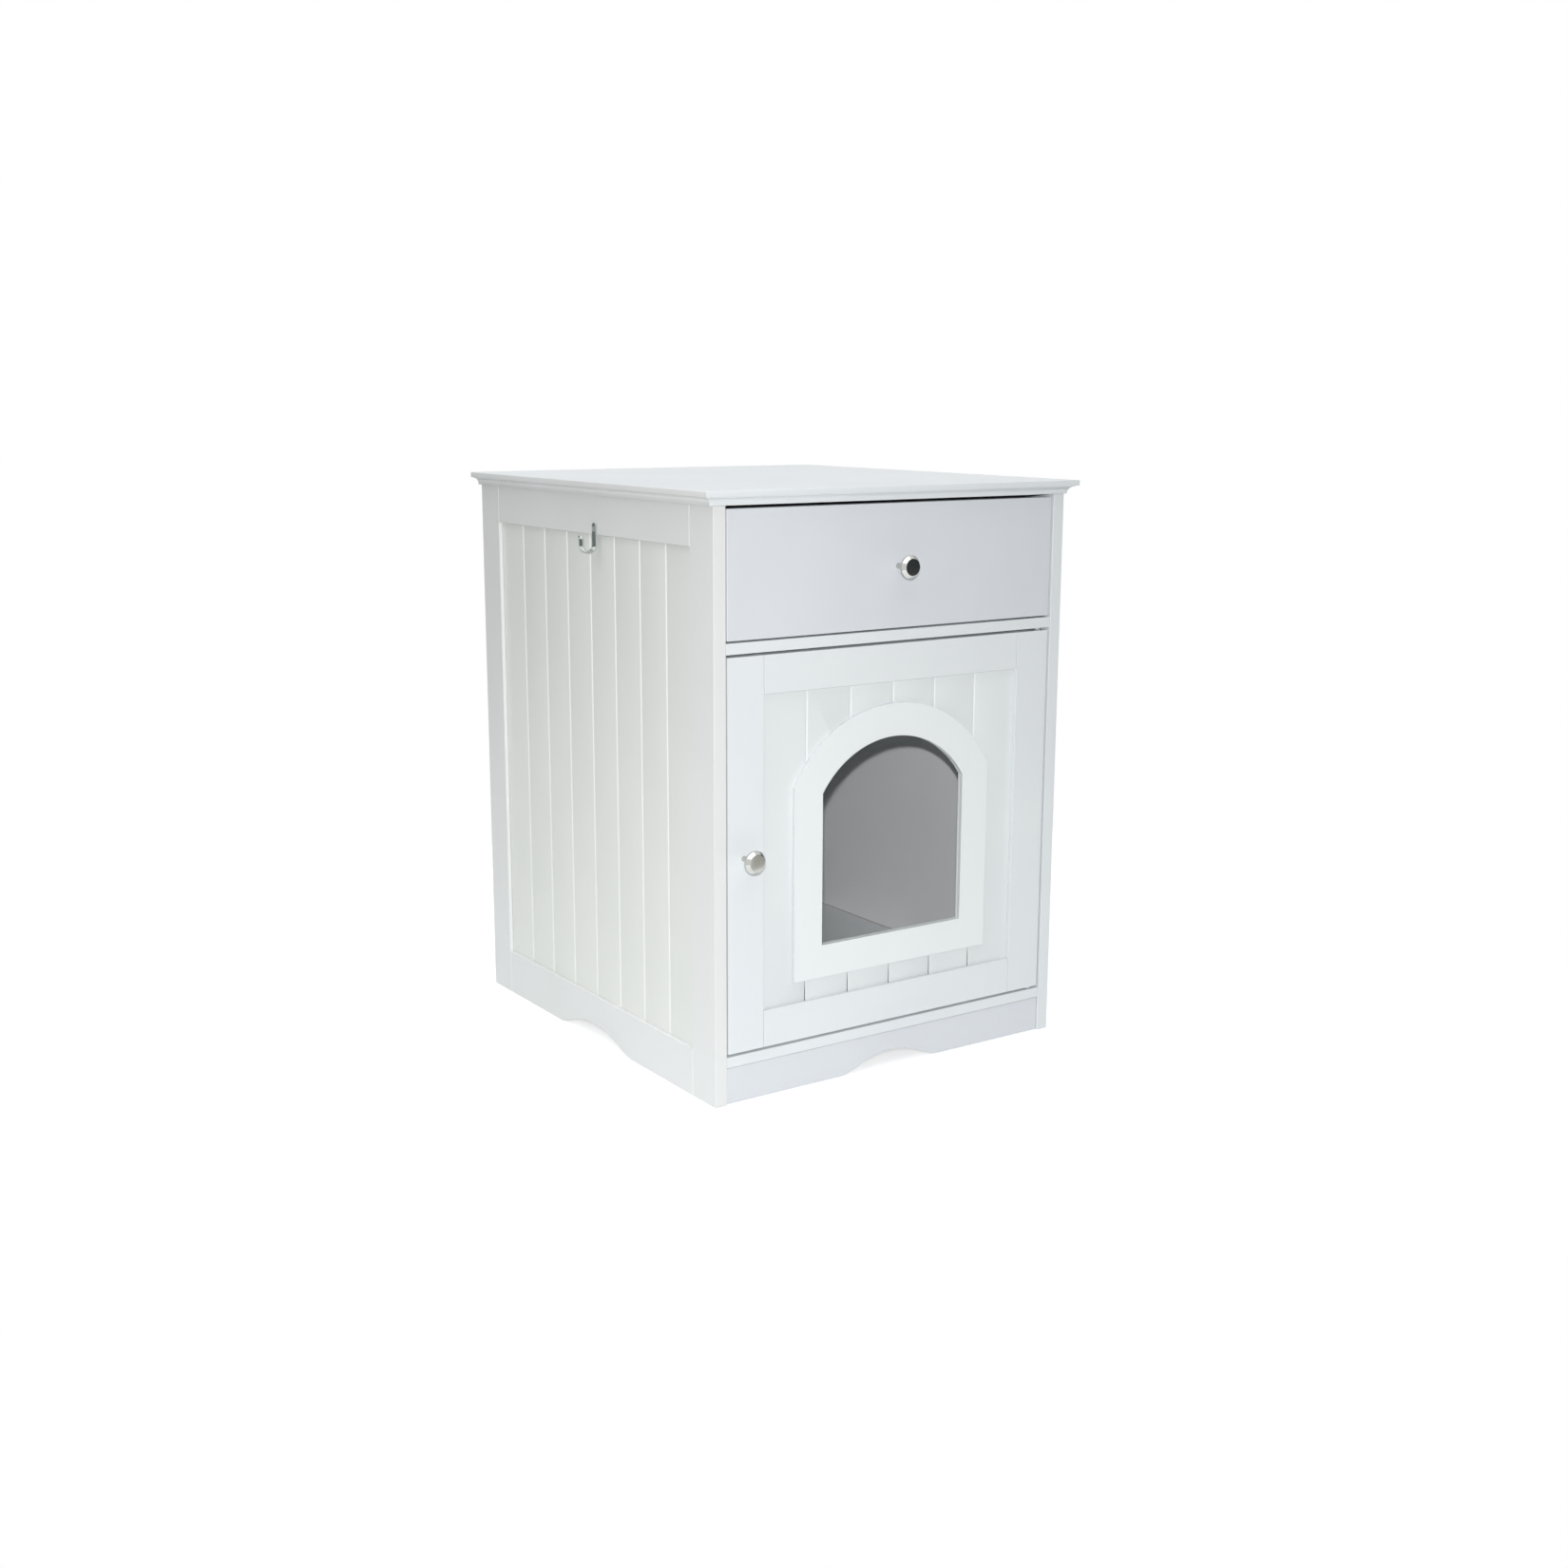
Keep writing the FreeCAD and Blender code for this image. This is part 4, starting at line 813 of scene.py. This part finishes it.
# %% Bent strip
HOOK_R, HOOK_PLATE, HOOK_TIP, HOOK_CURL = 8.0, 23.0, 9.0, 3.2
STRIP_T = 1.6
STRIP_EDGE, STRIP_END_R = 0.55, 3.2  # rounding of its long edges, and of its corners seen flat
PLATE_ROWS, BEND_ROWS, RISE_ROWS, CURL_ROWS = 24, 28, 8, 16


def strip_section(width):
    """Closed rounded rectangle of (across, through)."""
    w, t = width / 2 - STRIP_EDGE, STRIP_T / 2 - STRIP_EDGE
    parts = [quarter(centre, STRIP_EDGE, start, start + 90, 4)
             for centre, start in (((w, t), 0), ((-w, t), 90), ((-w, -t), 180), ((w, -t), 270))]
    return np.vstack(parts)


def hook_path(top, wall):
    """Centre line (x, z) of the J and its unit normal away from the wall side."""
    x = wall - STRIP_T / 2
    down = top - HOOK_PLATE
    plate = np.stack([np.full(PLATE_ROWS, x), np.linspace(top, down, PLATE_ROWS)], -1)
    bend = quarter((x - HOOK_R, down), HOOK_R, 0, -180, BEND_ROWS)
    curl_z = down + HOOK_TIP - HOOK_CURL
    rise = np.stack([np.full(RISE_ROWS, x - 2 * HOOK_R), np.linspace(down, curl_z, RISE_ROWS)], -1)
    curl = quarter((x - 2 * HOOK_R - HOOK_CURL, curl_z), HOOK_CURL, 0, 90, CURL_ROWS)
    path = np.vstack([plate[:-1], bend[:-1], rise[:-1], curl])
    step = np.gradient(path, axis=0)
    step /= np.linalg.norm(step, axis=1, keepdims=True)
    return path, np.stack([step[:, 1], -step[:, 0]], -1)


def scoop_hook(node):
    """Point = path + through * normal + across * y; across shrinks by r - sqrt(r^2 - inset^2) at the ends."""
    low, high, middle = box_mm(node)
    path, normal = hook_path(high[2], high[0])
    run = distance_along(path)
    from_end = np.minimum(run, run[-1] - run)
    inset = np.clip(STRIP_END_R - from_end, 0, STRIP_END_R)
    width = high[1] - low[1]
    narrow = 1 - (STRIP_END_R - np.sqrt(STRIP_END_R ** 2 - inset ** 2)) / (width / 2)
    section = strip_section(width)
    across = section[None, :, 0] * narrow[:, None]
    through = np.broadcast_to(section[None, :, 1], across.shape)
    grid = np.stack([path[:, None, 0] + normal[:, None, 0] * through, middle[1] + across,
                     path[:, None, 1] + normal[:, None, 1] * through], -1)
    caps = [np.broadcast_to(grid[end].mean(axis=0), (1, *grid.shape[1:])) for end in (0, -1)]
    grid = np.concatenate([caps[0], grid, caps[1]])
    return finished(grid_piece("bent_scoop_hook", [grid], 50), node, BRIGHT_STRIP)


print("hook faces:", len(scoop_hook("scoop_hook").data.polygons))

# %% [markdown]
# ## Screws
# A cross recess and a thread are what tell a screw from a peg. Both fit on one grid: going outwards over
# the head, then under it and down the shank, each row is a ring. Where a point of the head lies in the
# cross it is pressed in, and on the shank the radius grows with a tooth that climbs once per turn.

# %% Screws
SCREW_SIDES = 24
PITCH = 1.5
RAISED_CROWN = 0.7  # height of a raised head over its rim
PAN_HEIGHT = 0.85  # height of a pan head as a share of the shank's radius
DOME = 0.75  # 0 for a flat head, 1 for one that falls to nothing at its rim
CORE_SHARE = 0.74  # core of a thread as a share of its outer radius
POINT = 1.6  # length of the point in shank radii
CROSS_REACH, CROSS_DEEP = 0.62, 0.5  # cross recess, as shares of the head's radius
ARM_HALF, ARM_SLOPE, END_SLOPE = 0.30, 0.12, 0.6  # its arms, as shares of their reach
HEAD_ROWS, ROWS_A_PITCH = 12, 6
INWARDS, OUTWARDS, UPWARDS, FORWARDS = (-1, 0, 0), (1, 0, 0), (0, 0, 1), (0, -1, 0)


def cross_recess(radius, turn, reach, deep):
    """Depth of a cross recess: full where a point lies in an arm, sloping to nothing at its end."""
    x, z = np.abs(radius * np.cos(turn)), np.abs(radius * np.sin(turn))
    arm = np.clip((reach * ARM_HALF - np.minimum(x, z)) / (reach * ARM_SLOPE), 0, 1)
    slope = np.clip((reach - np.maximum(x, z)) / (reach * END_SLOPE), 0, 1)
    return deep * arm * slope


def thread(along, turn, pitch, core):
    """Share of the outer radius: core + (1 - core) * tooth, and the tooth climbs by a pitch each turn."""
    tooth = np.abs(((along / pitch - turn / math.tau) % 1) * 2 - 1)
    return core + (1 - core) * tooth


def radius_across(size, axis):
    """Radius of a round piece from the size of its box and its axis."""
    return np.delete(size, axis).max() / 2


def screw_grid(seat, run, shank_r, length, head_r, crown, sunk):
    """One screw: head from its middle outwards, its underside, threaded shank, point."""
    turn = turns(SCREW_SIDES)
    ring = np.linspace(0, 1, HEAD_ROWS)
    head_radius = all_round(ring * head_r, SCREW_SIDES)
    top = all_round(-crown * np.sqrt(1 - DOME * ring ** 2), SCREW_SIDES)
    top += cross_recess(head_radius, turn, head_r * CROSS_REACH, head_r * CROSS_DEEP)
    pitch = min(PITCH, shank_r)
    rows = max(int(length / pitch * ROWS_A_PITCH), HEAD_ROWS)
    along = all_round(np.linspace(shank_r if sunk else 0.0, length, rows), SCREW_SIDES)
    taper = np.clip((length - along) / (shank_r * POINT), 0, 1)
    shank = shank_r * thread(along, turn, pitch, CORE_SHARE) * taper
    return swept_round(np.vstack([head_radius, shank]), np.vstack([top, along]), seat, run)


def screws(node, way, head, slot, finish):
    """All screws of a node; way is where they point on the right-hand side, and the left mirrors it.

    A flat head is sunk flush, a raised one is sunk with a low crown, and a pan head stands on its seat.
    """
    sunk = head != "pan"
    grids = []
    for low, high, middle in separate_solids(node):
        run = np.array(way, float) * (1 if middle[0] > 0 else -1, 1, 1)
        axis = int(np.argmax(np.abs(run)))
        head_r = radius_across(high - low, axis)
        shank_r = head_r / 2
        head_h = 0 if sunk else PAN_HEIGHT * shank_r
        seat = middle.copy()
        seat[axis] = (low[axis] if run[axis] > 0 else high[axis]) + run[axis] * head_h
        length = (high - low)[axis] - head_h
        crown = RAISED_CROWN if head == "raised" else head_h
        grids.append(screw_grid(seat, run, shank_r, length, head_r, crown, sunk))
    return finished(grid_piece(node + "_threaded", grids, 35), node, finish)


SCREWS = [("hook_screw", INWARDS, "raised"), ("fixed_runner_screws", OUTWARDS, "pan"),
          ("drawer_runner_screws", UPWARDS, "pan"), ("catch_screws", UPWARDS, "pan"),
          ("strike_screw", FORWARDS, "flat"), ("drawer_back_screws", INWARDS, "flat"),
          ("drawer_knob_screw", FORWARDS, "pan"), ("door_knob_screw", FORWARDS, "pan")]
for node, way, head in SCREWS:
    steel = ("polished_nickel", BRIGHT_STRIP) if node == "hook_screw" else ("zinc_plated_steel", ZINC_PLATE)
    print(node, "faces:", len(screws(node, way, head, *steel).data.polygons))

# %% [markdown]
# ## Cams, bolts and dowels
# Flat-pack boards are drawn together by a bolt whose head is caught by a cam, a zinc drum that is turned
# with a screwdriver. The drum's face shows a cross slot in a shallow dish. The dowels beside them are
# beech with pressed flutes, which let the glue out.

# %% Cams, bolts and dowels
SHELF_LEVEL = box_mm("divider_shelf")[1][2]
CAM_SIDES, CAM_ROWS = 48, 16
CAM_EDGE, CAM_SUNK = 0.3, 0.15  # mm, chamfer of the drum's edge, and how deep its rim lies
DISH_DEEP, DISH_R, DISH_SLOPE = 0.35, 0.86, 0.1  # mm, and shares of the drum's radius
SLOT_REACH, SLOT_DEEP = 0.72, 2.2  # share of the radius, and mm
BOLT_SIDES, BOLT_ROWS, BALL_ROWS = 20, 90, 10
BALL, BALL_FROM = 4.0, 0.8  # mm, length of the head, and the turn where the shank ends
BOLT_SHANK, BOLT_CORE = 0.78, 0.78  # shares of the head's radius and of the shank's
BOLT_PITCH, BOLT_THREAD, BOLT_FOOT = 1.6, 9, 1.5  # mm
FLUTES, FLUTE_DEEP = 16, 0.05  # count, and share of the radius


def cam_grid(mouth, face, radius, depth):
    """Drum with a cross slot: rows go from the middle of its face over the edge to its foot."""
    ring = np.linspace(0, 1, CAM_ROWS)[:, None]
    face_radius = all_round(ring * (radius - CAM_EDGE), CAM_SIDES)
    dish = DISH_DEEP * np.clip((DISH_R - ring) / DISH_SLOPE, 0, 1) + CAM_SUNK
    slot = cross_recess(face_radius, turns(CAM_SIDES), radius * SLOT_REACH, SLOT_DEEP)
    wall_radius = all_round([radius, radius, radius, 0], CAM_SIDES)
    wall = all_round([-CAM_SUNK - CAM_EDGE, -depth / 2, -depth, -depth], CAM_SIDES)
    return swept_round(np.vstack([face_radius, wall_radius]), np.vstack([-dish - slot, wall]), mouth, face)


def cams(node):
    """Cams of a node: those in upright boards face the inside, those in level boards face down."""
    grids = []
    for low, high, middle in separate_solids(node):
        upright = middle[2] > SHELF_LEVEL
        axis = 0 if upright else 2
        face = np.zeros(3)
        face[axis] = (-np.sign(middle[0]) if upright else -1)
        mouth = middle.copy()
        mouth[axis] = high[axis] if face[axis] > 0 else low[axis]
        grids.append(cam_grid(mouth, face, radius_across(high - low, axis), (high - low)[axis]))
    return finished(grid_piece(node + "_slotted", grids, 30), node, CAST_ZINC)


def bolts(node):
    """Cam bolts: threaded foot, plain shank, and a ball head that lies at the cam."""
    turn = turns(BOLT_SIDES)
    ball = np.linspace(0, math.pi, BALL_ROWS)
    ball = ball[ball > BALL_FROM]
    grids = []
    for low, high, middle in separate_solids(node):
        size = high - low
        axis = int(np.argmax(size))
        run = np.zeros(3)
        run[axis] = -np.sign(middle[0]) if axis == 0 else (1 if axis == 1 else -1)
        head_r = radius_across(size, axis)
        shank_end = size[axis] - BALL
        along = all_round(np.linspace(0, shank_end, BOLT_ROWS), BOLT_SIDES)
        shape = np.where(along < BOLT_THREAD, thread(along, turn, BOLT_PITCH, BOLT_CORE), BOLT_CORE)
        shank = head_r * BOLT_SHANK * shape * np.clip(along / BOLT_FOOT, 0, 1)
        ball_r = all_round(np.maximum(head_r * np.sin(ball), 0), BOLT_SIDES)
        ball_along = all_round(shank_end + BALL / 2 * (1 - np.cos(ball)), BOLT_SIDES)
        foot = middle - run * size[axis] / 2
        grids.append(swept_round(np.vstack([shank, ball_r]), np.vstack([along, ball_along]), foot, run))
    return finished(grid_piece(node + "_threaded", grids, 35), node, ZINC_PLATE)


def dowels(node):
    """Fluted pins with chamfered ends: radius r (1 - FLUTE_DEEP (1 + cos(FLUTES t)) / 2) between them."""
    sides = FLUTES * 4
    share = np.array([0, 0, 0.02, 0.05, 0.95, 0.98, 1, 1])
    ends = np.array([0, 0.7, 0.9, 1, 1, 0.9, 0.7, 0])[:, None]
    flute = 1 - FLUTE_DEEP * (1 + np.cos(turns(sides) * FLUTES)) / 2 * (ends == 1)
    grids = []
    for low, high, middle in separate_solids(node):
        size = high - low
        axis = int(np.argmax(size))
        run = np.eye(3)[axis]
        foot = middle - run * size[axis] / 2
        grids.append(swept_round(radius_across(size, axis) * ends * flute,
                                 all_round(share * size[axis], sides), foot, run))
    return finished(grid_piece(node + "_fluted", grids, 30), node, BEECH)


for node in ("cams", "drawer_cams"):
    cams(node)
for node in ("cam_bolts", "drawer_cam_bolts"):
    bolts(node)
dowels("dowels")
print("cams:", len(separate_solids("cams")), "bolts:", len(separate_solids("cam_bolts")))

# %% [markdown]
# ## Rollers, pins and bushes
# The drawer runs on four nylon wheels with a slightly crowned tread and a sunk web, so that little of
# the wheel rubs on its runner. The door turns on two steel pins with collars, each in a nylon bush.

# %% Wheels and pivots
AXLE_R, PLAY = 2.5, 0.05
HUB_W, WHEEL_RIM, TREAD_EASE, CROWN = 1.4, 2.0, 0.6, 0.15
WEB_SLOPE, WEB_DEEP = 0.3, 0.7
PIN_R, PIN_EASE, PIN_TIP = 2.5, 0.3, (0.6, 0.8)
COLLAR_R, COLLAR_AT, COLLAR_H = 5.5, 9.5, 2.2
BUSH_MOUTH = (0.35, 0.3)  # chamfer of a bush's bore: outwards and along
PIVOT_SIDES = 40


def wheel_profile(radius, width, bore):
    """(radius, distance), closed: bore, hub, sunk web, rim and a tread that is highest in the middle."""
    hub, rim = bore + HUB_W, radius - WHEEL_RIM
    face = [(bore, 0), (hub, 0), (hub + WEB_SLOPE, WEB_DEEP), (rim - WEB_SLOPE, WEB_DEEP), (rim, 0),
            (radius - TREAD_EASE, 0)]
    tread = [(radius - CROWN, 0.5), (radius, width / 2)]
    half_wheel = np.array(face + tread)
    other = half_wheel[::-1] * [1, -1] + [0, width]
    return np.vstack([half_wheel, other[1:], half_wheel[:1]])


for node in ("cabinet_roller_left", "cabinet_roller_right", "drawer_roller_left", "drawer_roller_right"):
    low, high, middle = box_mm(node)
    profile = wheel_profile((high[2] - low[2]) / 2, high[0] - low[0], AXLE_R + PLAY)
    wheel = lathe(profile, (low[0], middle[1], middle[2]), (1, 0, 0))
    finished(grid_piece(node + "_moulded", [wheel], 35), node, NYLON)


def pivots():
    """Pins with their collars, and the bushes in the door."""
    pins, bushes = [], []
    for low, high, middle in separate_solids("pivot_pins"):
        up = 1 if middle[2] < SHELF_LEVEL / 2 else -1
        length = high[2] - low[2]
        corners = [(0, 0), (PIN_R - PIN_EASE, 0), (PIN_R, PIN_EASE), (PIN_R, COLLAR_AT),
                   (COLLAR_R, COLLAR_AT), (COLLAR_R, COLLAR_AT + COLLAR_H), (PIN_R, COLLAR_AT + COLLAR_H),
                   (PIN_R, length - PIN_TIP[1]), (PIN_R - PIN_TIP[0], length), (0, length)]
        foot = (middle[0], middle[1], low[2] if up > 0 else high[2])
        pins.append(lathe(eased(corners, 0.25, 3), foot, (0, 0, up), PIVOT_SIDES))
    for low, high, middle in separate_solids("pivot_bushes"):
        radius, length = (high[0] - low[0]) / 2, high[2] - low[2]
        bore = PIN_R + PLAY
        mouth = bore + BUSH_MOUTH[0]
        outline = [(bore, BUSH_MOUTH[1]), (mouth, 0), (radius, 0), (radius, length), (mouth, length),
                   (bore, length - BUSH_MOUTH[1]), (bore, BUSH_MOUTH[1])]
        bushes.append(lathe(outline, (middle[0], middle[1], low[2]), (0, 0, 1), PIVOT_SIDES))
    finished(grid_piece("pivot_pins_turned", pins, 35), "pivot_pins", ZINC_PLATE)
    finished(grid_piece("pivot_bushes_moulded", bushes, 35), "pivot_bushes", NYLON)
    return len(pins), len(bushes)


print("pins and bushes:", pivots())
